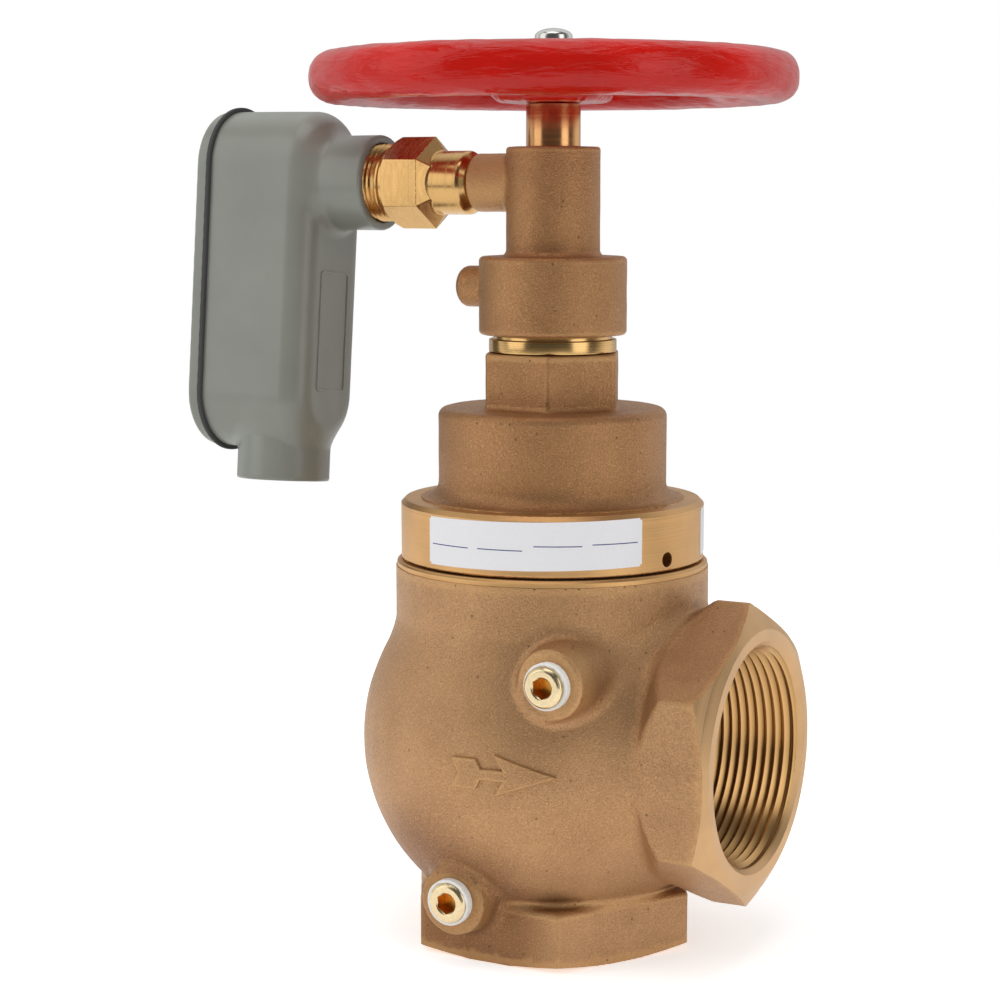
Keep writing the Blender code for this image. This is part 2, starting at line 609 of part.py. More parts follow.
def build_valve_body(parent, bronze):
    """Cast angle body: bulb, two hexagonal sockets, seat web, gauge bosses and bonnet thread."""
    skin = bulb_outline(BULB_RADIUS, BULB_HALF_HEIGHT, BULB_FOOT, COLLAR_BOTTOM, 9)
    outline = [(0, BULB_FOOT)] + skin + [(COLLAR_RADIUS, BODY_HEIGHT), (0, BODY_HEIGHT)]
    body = turned("valve_body", outline, parent, bronze)

    inlet = prism("inlet_hexagon", hexagon(INLET_FLATS), 0, INLET_HEX_HEIGHT, parent)
    clear = lathe_radius(INLET_FLATS)
    above = INLET_HEX_HEIGHT + CUT_OVERRUN
    lathe = [(0, -SEAT_GAP), (INLET_FACE_RADIUS, -SEAT_GAP), (clear, INLET_CHAMFER_HEIGHT),
             (clear, above), (0, above)]
    combine(inlet, turned("inlet_turning", lathe, parent), "INTERSECT")
    combine(body, inlet, "UNION")

    neck = turned("outlet_neck", disc_outline(NECK_RADIUS, NECK_START, OUTLET_REACH - SEAT_GAP),
                  parent, location=(0, 0, OUTLET_CENTRE), rotation=ALONG_PLUS_X)
    combine(body, neck, "UNION")

    hex_back = OUTLET_REACH - OUTLET_HEX_LENGTH
    slope_back = hex_back - OUTLET_BACK_SLOPE
    outlet = prism("outlet_hexagon", hexagon(OUTLET_FLATS), slope_back, OUTLET_REACH, parent,
                   location=(0, 0, OUTLET_CENTRE), rotation=ALONG_PLUS_X)
    clear = lathe_radius(OUTLET_FLATS)
    lathe = [(0, slope_back - SEAT_GAP), (OUTLET_FACE_RADIUS - OUTLET_BACK_SLOPE, slope_back - SEAT_GAP),
             (clear, hex_back), (clear, OUTLET_REACH - OUTLET_CHAMFER_DEPTH),
             (OUTLET_FACE_RADIUS, OUTLET_REACH + SEAT_GAP), (0, OUTLET_REACH + SEAT_GAP)]
    combine(outlet, turned("outlet_turning", lathe, parent, location=(0, 0, OUTLET_CENTRE),
                           rotation=ALONG_PLUS_X), "INTERSECT")
    combine(body, outlet, "UNION")

    for side, across, height, reach in plug_places():
        boss = rounded([(0, reach - PLUG_BOSS_DEPTH),
                        (PLUG_BOSS_RADIUS + PLUG_BOSS_FLARE, reach - PLUG_BOSS_DEPTH),
                        (PLUG_BOSS_RADIUS, reach, PLUG_BOSS_ROUND), (0, reach)])
        combine(body, turned(side + "_boss", boss, parent, sides=MIDDLE_ROUND,
                             location=(across, 0, height), rotation=ALONG_MINUS_Y), "UNION")

    thread = BONNET_THREAD_RADIUS + SEAT_GAP
    ledge = BONNET_THREAD_RADIUS - GUIDE_LEDGE
    spigot = SEAT_SPIGOT_RADIUS + SEAT_GAP
    cavity = bulb_outline(BULB_RADIUS - BULB_WALL, BULB_HALF_HEIGHT - BULB_WALL, WEB_TOP, ROOF_BOTTOM, 5)
    passage = [(0, -BORE_CHAMFER), (PIPE_BORE_RADIUS + 2 * BORE_CHAMFER, -BORE_CHAMFER),
               (PIPE_BORE_RADIUS, BORE_CHAMFER), (PIPE_BORE_RADIUS, PIPE_BORE_DEPTH),
               (spigot, PIPE_BORE_DEPTH), (spigot, WEB_TOP)]
    passage += cavity
    passage += [(ledge, ROOF_BOTTOM), (ledge, BONNET_BORE_FLOOR), (thread, BONNET_BORE_FLOOR),
                (thread, BODY_HEIGHT + CUT_OVERRUN), (0, BODY_HEIGHT + CUT_OVERRUN)]
    combine(body, turned("body_passage", passage, parent), "DIFFERENCE")

    bore_floor = OUTLET_REACH - OUTLET_BORE_DEPTH
    bore = [(0, bore_floor - BULB_WALL), (PIPE_BORE_RADIUS - BORE_CHAMFER, bore_floor - BULB_WALL),
            (PIPE_BORE_RADIUS, bore_floor), (PIPE_BORE_RADIUS, OUTLET_REACH - BORE_CHAMFER),
            (PIPE_BORE_RADIUS + 2 * BORE_CHAMFER, OUTLET_REACH + BORE_CHAMFER),
            (0, OUTLET_REACH + BORE_CHAMFER)]
    combine(body, turned("outlet_bore", bore, parent, location=(0, 0, OUTLET_CENTRE),
                         rotation=ALONG_PLUS_X), "DIFFERENCE")

    for side, across, height, reach in plug_places():
        hole = disc_outline(TAPE_INNER_RADIUS, reach - PLUG_BOSS_DEPTH, reach + CUT_OVERRUN)
        combine(body, turned(side + "_hole", hole, parent, sides=MIDDLE_ROUND,
                             location=(across, 0, height), rotation=ALONG_MINUS_Y), "DIFFERENCE")


def plug_places():
    """Name, X, height and boss face distance of the two gauge plugs."""
    return [("upper_gauge", UPPER_PLUG_X, UPPER_PLUG_HEIGHT, UPPER_BOSS_REACH),
            ("lower_gauge", LOWER_PLUG_X, LOWER_PLUG_HEIGHT, LOWER_BOSS_REACH)]


def build_gauge_plugs(parent, brass, tape):
    """Hexagon socket pipe plugs, each with a wrap of thread tape showing at its boss."""
    sticks_out = (UPPER_PLUG_STICKS_OUT, LOWER_PLUG_STICKS_OUT)
    for (side, across, height, reach), out in zip(plug_places(), sticks_out):
        place = (across, 0, height)
        face = reach + out
        outline = rounded([(0, face - PLUG_LENGTH), (PLUG_RADIUS, face - PLUG_LENGTH),
                           (PLUG_RADIUS, face, PLUG_CHAMFER), (0, face)])
        plug = turned(side + "_plug", outline, parent, brass, MIDDLE_ROUND, place, ALONG_MINUS_Y)
        socket = prism(side + "_socket", hexagon(PLUG_SOCKET_FLATS, 30), face - PLUG_SOCKET_DEPTH,
                       face + CUT_OVERRUN, parent, location=place, rotation=ALONG_MINUS_Y)
        combine(plug, socket, "DIFFERENCE")
        wrap = ring_outline(TAPE_INNER_RADIUS, TAPE_RADIUS, reach + SEAT_GAP, reach + TAPE_WIDTH)
        turned(side + "_plug_tape", wrap, parent, tape, MIDDLE_ROUND, place, ALONG_MINUS_Y)


def build_seat(parent, brass):
    """Seat ring: a flange on the web, a spigot through it and a narrow raised rim."""
    foot = PIPE_BORE_DEPTH + SEAT_RIM_HEIGHT
    outline = [(SEAT_BORE_RADIUS, foot), (SEAT_SPIGOT_RADIUS, foot),
               (SEAT_SPIGOT_RADIUS, SEAT_FLANGE_BOTTOM), (SEAT_FLANGE_RADIUS, SEAT_FLANGE_BOTTOM),
               (SEAT_FLANGE_RADIUS, SEAT_FLANGE_TOP), (SEAT_RIM_RADIUS + SEAT_RIM_HEIGHT, SEAT_FLANGE_TOP),
               (SEAT_RIM_RADIUS, SEAT_TOP), (SEAT_BORE_RADIUS + SEAT_RIM_HEIGHT, SEAT_TOP),
               (SEAT_BORE_RADIUS, SEAT_FLANGE_TOP)]
    turned("seat_ring", outline, parent, brass)


def build_disc_pieces(parent, brass, steel, rubber):
    """Rubber seat disc with the washer and screw that hold it in the piston's cup."""
    hole = DISC_SCREW_RADIUS + SEAT_GAP
    turned("seat_disc", ring_outline(hole, DISC_RADIUS, DISC_BOTTOM, DISC_TOP), parent, rubber)
    washer_top = DISC_BOTTOM - SEAT_GAP
    washer_bottom = washer_top - DISC_WASHER_THICKNESS
    turned("disc_washer", ring_outline(hole, DISC_WASHER_RADIUS, washer_bottom, washer_top),
           parent, brass, MIDDLE_ROUND)
    head_top = washer_bottom - SEAT_GAP
    shank = turned("disc_screw", disc_outline(DISC_SCREW_RADIUS, head_top - DISC_SCREW_SPARE,
                                              HOLDER_FLOOR + DISC_SCREW_LENGTH),
                   parent, steel, SMALL_ROUND)
    head = prism("disc_screw_head", hexagon(DISC_SCREW_HEAD_FLATS), head_top - DISC_SCREW_HEAD_HEIGHT,
                 head_top, parent)
    combine(shank, head, "UNION")


def build_piston(parent, bronze, brass, rubber):
    """Regulating piston: disc cup, guide rod and sealed head with the stem's thrust recess."""
    hole = DISC_SCREW_RADIUS + SEAT_GAP
    lip = HOLDER_FLOOR - HOLDER_LIP
    groove_floor = PISTON_RADIUS - PISTON_SEAL_GROOVE
    groove_low = PISTON_BOTTOM + (PISTON_THICKNESS - PISTON_SEAL_GROOVE) / 2
    groove_high = groove_low + PISTON_SEAL_GROOVE
    tap_end = HOLDER_FLOOR + DISC_SCREW_LENGTH + DISC_SCREW_SPARE
    outline = [(0, tap_end), (hole, tap_end), (hole, HOLDER_FLOOR),
               (DISC_RADIUS + SEAT_GAP, HOLDER_FLOOR), (DISC_RADIUS + SEAT_GAP, lip),
               (HOLDER_RADIUS, lip), (HOLDER_RADIUS, HOLDER_TOP, HOLDER_ROUND),
               (ROD_RADIUS, HOLDER_TOP + HOLDER_WALL, ROD_FILLET), (ROD_RADIUS, PISTON_BOTTOM),
               (PISTON_RADIUS, PISTON_BOTTOM), (PISTON_RADIUS, groove_low), (groove_floor, groove_low),
               (groove_floor, groove_high), (PISTON_RADIUS, groove_high), (PISTON_RADIUS, PISTON_TOP),
               (THRUST_RECESS_RADIUS, PISTON_TOP), (THRUST_RECESS_RADIUS, THRUST_FLOOR), (0, THRUST_FLOOR)]
    turned("piston", rounded(outline), parent, bronze)

    seal_low = groove_low + SEAT_GAP
    seal = ring_outline(groove_floor + SEAT_GAP, PISTON_RADIUS + PISTON_CLEARANCE / 2,
                        seal_low, seal_low + PISTON_SEAL_WIDTH)
    turned("piston_seal", seal, parent, rubber)

    cap = ring_outline(STEM_BORE_RADIUS, THRUST_RECESS_RADIUS - SEAT_GAP, THRUST_CAP_BOTTOM,
                       THRUST_CAP_BOTTOM + THRUST_CAP_THICKNESS)
    turned("thrust_cap", cap, parent, brass, LARGE_ROUND)


def build_guide_plate(parent, bronze):
    """Plate clamped under the bonnet that guides the rod and carries the spring."""
    bore = ROD_RADIUS + RUNNING_GAP
    outline = [(bore, GUIDE_BOTTOM - GUIDE_HUB_LENGTH), (GUIDE_HUB_RADIUS, GUIDE_BOTTOM - GUIDE_HUB_LENGTH),
               (GUIDE_HUB_RADIUS, GUIDE_BOTTOM, GUIDE_HUB_FILLET), (BONNET_THREAD_RADIUS, GUIDE_BOTTOM),
               (BONNET_THREAD_RADIUS, GUIDE_TOP), (bore, GUIDE_TOP)]
    plate = turned("guide_plate", rounded(outline), parent, bronze)
    for index in range(GUIDE_PORT_COUNT):
        angle = math.tau * (index + 0.5) / GUIDE_PORT_COUNT
        port = turned(f"guide_port_{index + 1}",
                      disc_outline(GUIDE_PORT_RADIUS, GUIDE_BOTTOM - CUT_OVERRUN, GUIDE_TOP + CUT_OVERRUN),
                      parent, sides=SMALL_ROUND,
                      location=(GUIDE_PORT_CIRCLE * math.cos(angle), GUIDE_PORT_CIRCLE * math.sin(angle), 0))
        combine(plate, port, "DIFFERENCE")


def build_bonnet(parent, bronze, rubber):
    """Bonnet: threaded skirt, machined flange with spanner holes, cast dome and hexagonal neck."""
    skirt_bore = BONNET_THREAD_RADIUS - BONNET_SKIRT_WALL
    outline = [(skirt_bore, SKIRT_BOTTOM), (BONNET_THREAD_RADIUS, SKIRT_BOTTOM),
               (BONNET_THREAD_RADIUS, FLANGE_BOTTOM), (FLANGE_RADIUS, FLANGE_BOTTOM),
               (FLANGE_RADIUS, FLANGE_TOP - FLANGE_CHAMFER), (FLANGE_RADIUS - FLANGE_CHAMFER, FLANGE_TOP),
               (DOME_RADIUS, FLANGE_TOP, DOME_FOOT_FILLET), (DOME_RADIUS, DOME_TOP, DOME_TOP_FILLET),
               (STEM_HOLE_RADIUS, DOME_TOP), (STEM_HOLE_RADIUS, BONNET_CEILING),
               (BONNET_BORE_RADIUS, BONNET_CEILING),
               (BONNET_BORE_RADIUS, FLANGE_BOTTOM + BONNET_SKIRT_WALL), (skirt_bore, FLANGE_BOTTOM)]
    bonnet = turned("bonnet", rounded(outline), parent, bronze)
    neck = prism("bonnet_neck", hexagon(NECK_HEX_FLATS, NECK_HEX_TURN - 90), DOME_TOP - DOME_TOP_FILLET,
                 NECK_HEX_TOP, parent)
    combine(bonnet, neck, "UNION")
    box = [(0, BONNET_CEILING + CUT_OVERRUN), (STEM_HOLE_RADIUS, BONNET_CEILING + CUT_OVERRUN),
           (STEM_HOLE_RADIUS, PACKING_BOX_FLOOR), (PACKING_BOX_RADIUS, PACKING_BOX_FLOOR),
           (PACKING_BOX_RADIUS, NECK_HEX_TOP + CUT_OVERRUN), (0, NECK_HEX_TOP + CUT_OVERRUN)]
    combine(bonnet, turned("packing_box", box, parent), "DIFFERENCE")
    for index in range(2):
        turn = math.radians(SPANNER_HOLE_ANGLE + 180 * index)
        hole = turned(f"spanner_hole_{index + 1}",
                      disc_outline(SPANNER_HOLE_RADIUS, FLANGE_RADIUS - SPANNER_HOLE_DEPTH,
                                   FLANGE_RADIUS + CUT_OVERRUN),
                      parent, sides=SMALL_ROUND, location=(0, 0, FLANGE_BOTTOM + SPANNER_HOLE_RISE),
                      rotation=(0, math.radians(90), turn))
        combine(bonnet, hole, "DIFFERENCE")
    seal_inner = BONNET_THREAD_RADIUS + 2 * SEAT_GAP
    seal = ring_outline(seal_inner, seal_inner + SEAL_WIDTH, BODY_HEIGHT + SEAT_GAP, FLANGE_BOTTOM - SEAT_GAP)
    turned("bonnet_seal", seal, parent, rubber)


def build_stem_pieces(parent, brass, packing_material):
    """Stem nut, packing and packing nut in the bonnet's neck."""
    box = PACKING_BOX_RADIUS - SEAT_GAP
    turned("stem_nut", ring_outline(STEM_BORE_RADIUS, box, STEM_NUT_BOTTOM, STEM_NUT_TOP), parent, brass)
    turned("stem_packing", ring_outline(STEM_BORE_RADIUS, box, PACKING_BOTTOM, PACKING_TOP),
           parent, packing_material)
    spigot = HOUSING_SPIGOT_RADIUS
    outline = [(STEM_BORE_RADIUS, PACKING_TOP + SEAT_GAP), (box, PACKING_TOP + SEAT_GAP),
               (box, PACKING_NUT_BOTTOM), (PACKING_NUT_RADIUS, PACKING_NUT_BOTTOM),
               (PACKING_NUT_RADIUS, PACKING_NUT_TOP), (spigot, PACKING_NUT_TOP),
               (spigot, HOUSING_SHOULDER - SEAT_GAP), (STEM_BORE_RADIUS, HOUSING_SHOULDER - SEAT_GAP)]
    turned("packing_nut", outline, parent, brass)


def build_stem(parent, brass):
    """Rising stem: thrust foot, cam cone for the switch, square end and threaded tip."""
    outline = [(0, STEM_BOTTOM), (STEM_FOOT_RADIUS, STEM_BOTTOM), (STEM_FOOT_RADIUS, STEM_FOOT_TOP),
               (STEM_RADIUS, STEM_FOOT_TOP), (STEM_RADIUS, CAM_BOTTOM), (CAM_WAIST_RADIUS, CAM_TOP),
               (CAM_WAIST_RADIUS, CAM_RUN_OUT),
               (STEM_RADIUS, CAM_RUN_OUT + STEM_RADIUS - CAM_WAIST_RADIUS),
               (STEM_RADIUS, WHEEL_HUB_BOTTOM - SEAT_GAP), (0, WHEEL_HUB_BOTTOM - SEAT_GAP)]
    stem = turned("stem", outline, parent, brass, MIDDLE_ROUND)
    half = STEM_SQUARE / 2
    square = prism("stem_square", rectangle(-half, half, -half, half),
                   WHEEL_HUB_BOTTOM - CUT_OVERRUN, WHEEL_HUB_TOP - SEAT_GAP, parent)
    combine(stem, square, "UNION")
    tip_top = WHEEL_NUT_BOTTOM + WHEEL_NUT_HEIGHT / 2
    tip = turned("stem_tip", disc_outline(STEM_END_RADIUS, WHEEL_HUB_TOP - CUT_OVERRUN, tip_top),
                 parent, sides=SMALL_ROUND)
    combine(stem, tip, "UNION")


def build_switch_housing(parent, bronze):
    """Cast housing round the stem, with a collar, a side branch and a plain boss."""
    outline = [(HOUSING_BORE_RADIUS, HOUSING_SHOULDER), (HOUSING_SPIGOT_RADIUS + SEAT_GAP, HOUSING_SHOULDER),
               (HOUSING_SPIGOT_RADIUS + SEAT_GAP, HOUSING_BOTTOM),
               (HOUSING_COLLAR_RADIUS, HOUSING_BOTTOM, HOUSING_FILLET),
               (HOUSING_COLLAR_RADIUS, HOUSING_COLLAR_TOP, HOUSING_FILLET),
               (HOUSING_TUBE_RADIUS, HOUSING_COLLAR_TOP, HOUSING_FILLET),
               (HOUSING_TUBE_RADIUS, HOUSING_TOP, HOUSING_FILLET), (HOUSING_BORE_RADIUS, HOUSING_TOP)]
    housing = turned("switch_housing", rounded(outline), parent, bronze, MIDDLE_ROUND)
    start = (HOUSING_BORE_RADIUS + HOUSING_TUBE_RADIUS) / 2
    branch = turned("housing_branch", disc_outline(BRANCH_RADIUS, start, BRANCH_REACH), parent,
                    sides=MIDDLE_ROUND, location=(0, 0, BRANCH_HEIGHT), rotation=ALONG_MINUS_X)
    combine(housing, branch, "UNION")
    inside = (HOUSING_SPIGOT_RADIUS + HOUSING_COLLAR_RADIUS) / 2
    knob = rounded([(0, inside), (BOSS_RADIUS, inside), (BOSS_RADIUS, BOSS_REACH, BOSS_FILLET),
                    (0, BOSS_REACH)])
    combine(housing, turned("housing_boss", knob, parent, sides=SMALL_ROUND,
                            location=(0, 0, BOSS_HEIGHT), rotation=ALONG_MINUS_X), "UNION")
    bore = turned("branch_bore", disc_outline(BRANCH_BORE_RADIUS, 0, BRANCH_REACH + CUT_OVERRUN), parent,
                  sides=MIDDLE_ROUND, location=(0, 0, BRANCH_HEIGHT), rotation=ALONG_MINUS_X)
    combine(housing, bore, "DIFFERENCE")


def build_adaptor(branch, brass, steel):
    """Brass adaptor, the plunger through it, and the plunger's spring with its retainer."""
    nose = ADAPTOR_NOSE_RADIUS
    clear = lathe_radius(ADAPTOR_HEX_FLATS)
    cone_tip = clear - ADAPTOR_HEX_START + ADAPTOR_CONE_START
    outline = [(PLUNGER_BORE_RADIUS, ADAPTOR_TAIL), (ADAPTOR_SPIGOT_RADIUS, ADAPTOR_TAIL),
               (ADAPTOR_SPIGOT_RADIUS, ADAPTOR_START), (nose - ADAPTOR_NOSE_CHAMFER, ADAPTOR_START),
               (nose, ADAPTOR_START + ADAPTOR_NOSE_CHAMFER), (nose, ADAPTOR_HEX_START),
               (ADAPTOR_THREAD_RADIUS, ADAPTOR_HEX_START), (ADAPTOR_THREAD_RADIUS, ADAPTOR_END),
               (ADAPTOR_SPRING_BORE, ADAPTOR_END), (ADAPTOR_SPRING_BORE, ADAPTOR_BORE_FLOOR),
               (PLUNGER_BORE_RADIUS, ADAPTOR_BORE_FLOOR)]
    adaptor = turned("conduit_adaptor", outline, branch, brass, MIDDLE_ROUND)
    nut = prism("adaptor_hexagon", hexagon(ADAPTOR_HEX_FLATS), ADAPTOR_CONE_START, ADAPTOR_HEX_END, branch)
    lathe = [(cone_tip, ADAPTOR_CONE_START - SEAT_GAP), (clear, ADAPTOR_HEX_START),
             (clear, ADAPTOR_HEX_END - BORE_CHAMFER), (clear - BORE_CHAMFER, ADAPTOR_HEX_END + SEAT_GAP),
             (ADAPTOR_SPRING_BORE + SEAT_GAP, ADAPTOR_HEX_END + SEAT_GAP),
             (ADAPTOR_SPRING_BORE + SEAT_GAP, ADAPTOR_CONE_START - SEAT_GAP)]
    combine(nut, turned("adaptor_turning", lathe, branch), "INTERSECT")
    combine(adaptor, nut, "UNION")

    collar_end = PLUNGER_COLLAR_START + PLUNGER_COLLAR_LENGTH
    rod = [(0, PLUNGER_TIP), (PLUNGER_RADIUS, PLUNGER_TIP, PLUNGER_RADIUS / 2),
           (PLUNGER_RADIUS, PLUNGER_COLLAR_START), (PLUNGER_COLLAR_RADIUS, PLUNGER_COLLAR_START),
           (PLUNGER_COLLAR_RADIUS, collar_end), (PLUNGER_RADIUS, collar_end),
           (PLUNGER_RADIUS, PLUNGER_END), (0, PLUNGER_END)]
    turned("switch_plunger", rounded(rod), branch, steel, SMALL_ROUND)
    turned("spring_retainer", ring_outline(PLUNGER_BORE_RADIUS, ADAPTOR_SPRING_BORE - SEAT_GAP,
                                           RETAINER_START, RETAINER_START + RETAINER_LENGTH),
           branch, brass, MIDDLE_ROUND)
    helix("plunger_spring", RETURN_SPRING_RADIUS, RETURN_WIRE_RADIUS, collar_end + SEAT_GAP,
          RETAINER_START - SEAT_GAP, RETURN_SPRING_TURNS, branch, steel)


def front_rings(half_width, front, back, front_round, draft, steps=3):
    """Rings from a rounded front edge back along the conduit body's tapering side."""
    rings = []
    waist = half_width - draft
    for step in range(steps + 1):
        angle = math.radians(90) * step / steps
        rings.append(stadium(waist - front_round * (1 - math.sin(angle)),
                             front + front_round * (1 - math.cos(angle))))
    rings.append(stadium(half_width, back))
    return rings


def cover_screw_places():
    """Name and height of the two cover screws, above the hub's axis."""
    reach = CONDUIT_LENGTH / 2 - COVER_SCREW_INSET
    return [("upper", CONDUIT_MIDDLE + reach), ("lower", CONDUIT_MIDDLE - reach)]


def build_conduit_body(conduit, grey):
    """Cast conduit body: long shell open at the back, hub towards the valve, hub at the bottom."""
    shell = lofted("conduit_body", front_rings(CONDUIT_HALF_WIDTH, CONDUIT_FRONT, CONDUIT_BACK,
                                               CONDUIT_FRONT_ROUND, CONDUIT_DRAFT), conduit, grey)
    hub = rounded([(0, HUB_START), (HUB_RADIUS, HUB_START, HUB_CHAMFER),
                   (HUB_RADIUS, CONDUIT_FRONT + CONDUIT_FRONT_ROUND),
                   (0, CONDUIT_FRONT + CONDUIT_FRONT_ROUND)])
    combine(shell, turned("side_hub", hub, conduit, sides=MIDDLE_ROUND), "UNION")
    inside = -CONDUIT_MIDDLE
    spout = rounded([(0, inside), (HUB_RADIUS, inside), (HUB_RADIUS, END_HUB_DROP, HUB_CHAMFER),
                     (0, END_HUB_DROP)])
    combine(shell, turned("end_hub", spout, conduit, sides=MIDDLE_ROUND,
                          location=(0, 0, END_HUB_CENTRE), rotation=ALONG_MINUS_X), "UNION")
    wall = CONDUIT_WALL
    hollow = lofted("conduit_hollow",
                    front_rings(CONDUIT_HALF_WIDTH - wall, CONDUIT_FRONT + wall, CONDUIT_BACK + CUT_OVERRUN,
                                CONDUIT_FRONT_ROUND - wall, CONDUIT_DRAFT), conduit)
    boss_start = CONDUIT_BACK - COVER_BOSS_LENGTH
    for side, rise in cover_screw_places():
        post = turned(side + "_cover_post", disc_outline(COVER_BOSS_RADIUS, boss_start, CONDUIT_BACK + wall),
                      conduit, sides=SMALL_ROUND, location=(rise, 0, 0))
        combine(hollow, post, "DIFFERENCE")
    combine(shell, hollow, "DIFFERENCE")
    throat = CONDUIT_FRONT + CONDUIT_FRONT_ROUND + wall
    entry = [(0, HUB_START - CUT_OVERRUN), (HUB_BORE_RADIUS, HUB_START - CUT_OVERRUN),
             (HUB_BORE_RADIUS, ADAPTOR_END + SEAT_GAP), (HUB_THROAT_RADIUS, ADAPTOR_END + SEAT_GAP),
             (HUB_THROAT_RADIUS, throat), (0, throat)]
    combine(shell, turned("side_hub_bore", entry, conduit, sides=MIDDLE_ROUND), "DIFFERENCE")
    shelf = CONDUIT_LENGTH - CONDUIT_TOP - wall / 2
    lead_out = [(0, shelf - HUB_BORE_RADIUS), (HUB_THROAT_RADIUS, shelf - HUB_BORE_RADIUS),
                (HUB_THROAT_RADIUS, shelf), (HUB_BORE_RADIUS, shelf),
                (HUB_BORE_RADIUS, END_HUB_DROP + CUT_OVERRUN), (0, END_HUB_DROP + CUT_OVERRUN)]
    combine(shell, turned("end_hub_bore", lead_out, conduit, sides=MIDDLE_ROUND,
                          location=(0, 0, END_HUB_CENTRE), rotation=ALONG_MINUS_X), "DIFFERENCE")
    for side, rise in cover_screw_places():
        hole = disc_outline(COVER_SCREW_RADIUS + SEAT_GAP, boss_start + BORE_CHAMFER, CONDUIT_BACK + wall)
        combine(shell, turned(side + "_cover_tap", hole, conduit, sides=SMALL_ROUND,
                              location=(rise, 0, 0)), "DIFFERENCE")
    tap = disc_outline(SWITCH_SCREW_RADIUS + SEAT_GAP, CONDUIT_FRONT + SEAT_GAP * 2, CONDUIT_FRONT + 2 * wall)
    combine(shell, turned("bracket_tap", tap, conduit, sides=SMALL_ROUND,
                          location=(bracket_screw_rise(), 0, 0)), "DIFFERENCE")


def build_cover(conduit, grey, rubber, steel):
    """Gasket, cast cover and the cover's two flush screws."""
    outside = CONDUIT_HALF_WIDTH + GASKET_OVERHANG
    inside = CONDUIT_HALF_WIDTH - GASKET_MARGIN
    gasket = lofted("cover_gasket", [stadium(outside, GASKET_START),
                                     stadium(outside, GASKET_START + GASKET_THICKNESS)], conduit, rubber)
    window = lofted("gasket_window", [stadium(inside, GASKET_START - CUT_OVERRUN),
                                      stadium(inside, COVER_START + CUT_OVERRUN)], conduit)
    combine(gasket, window, "DIFFERENCE")
    edge = CONDUIT_HALF_WIDTH
    rings = [stadium(edge, COVER_START), stadium(edge, COVER_END - COVER_ROUND),
             stadium(edge - COVER_ROUND_STEP, COVER_END - COVER_ROUND_STEP),
             stadium(edge - COVER_ROUND, COVER_END)]
    cover = lofted("conduit_cover", rings, conduit, grey)
    clear = COVER_SCREW_RADIUS + RUNNING_GAP
    head_seat = COVER_END - COVER_SCREW_HEAD_HEIGHT - SEAT_GAP
    for side, rise in cover_screw_places():
        place = (rise, 0, 0)
        drill = [(0, GASKET_START - CUT_OVERRUN), (clear, GASKET_START - CUT_OVERRUN), (clear, head_seat),
                 (COVER_SCREW_HEAD_RADIUS + SEAT_GAP, head_seat),
                 (COVER_SCREW_HEAD_RADIUS + SEAT_GAP, COVER_END + CUT_OVERRUN),
                 (0, COVER_END + CUT_OVERRUN)]
        drilled = turned(side + "_screw_drill", drill, conduit, sides=SMALL_ROUND, location=place,
                         rotation=(0, 0, math.pi / SMALL_ROUND))
        combine(cover, drilled, "DIFFERENCE")
        combine(gasket, drilled, "DIFFERENCE")
        low = CONDUIT_BACK - COVER_BOSS_LENGTH + 2 * BORE_CHAMFER
        head_low = head_seat + SEAT_GAP
        screw = [(0, low), (COVER_SCREW_RADIUS, low), (COVER_SCREW_RADIUS, head_low),
                 (COVER_SCREW_HEAD_RADIUS, head_low),
                 (COVER_SCREW_HEAD_RADIUS, COVER_END, COVER_SCREW_HEAD_ROUND), (0, COVER_END)]
        shank = turned("cover_screw_" + side, rounded(screw), conduit, steel, SMALL_ROUND, place)
        half = COVER_SCREW_HEAD_RADIUS + CUT_OVERRUN
        slot = prism(side + "_screw_slot", rectangle(-half, half, -SEAT_GAP, SEAT_GAP),
                     COVER_END - COVER_SCREW_SLOT, COVER_END + CUT_OVERRUN, conduit, location=place)
        combine(shank, slot, "DIFFERENCE")


def bracket_screw_rise():
    """Height of the bracket's screw above the hub's axis."""
    return SWITCH_RISE - SWITCH_HEIGHT - BRACKET_THICKNESS - BRACKET_EAR_DROP / 2


def switch_screw_places():
    """Name and height of the two screws through the limit switch, above the hub's axis."""
    middle = SWITCH_RISE - SWITCH_HEIGHT / 2
    return [("upper", middle + SWITCH_SCREW_SPACING / 2), ("lower", middle - SWITCH_SCREW_SPACING / 2)]


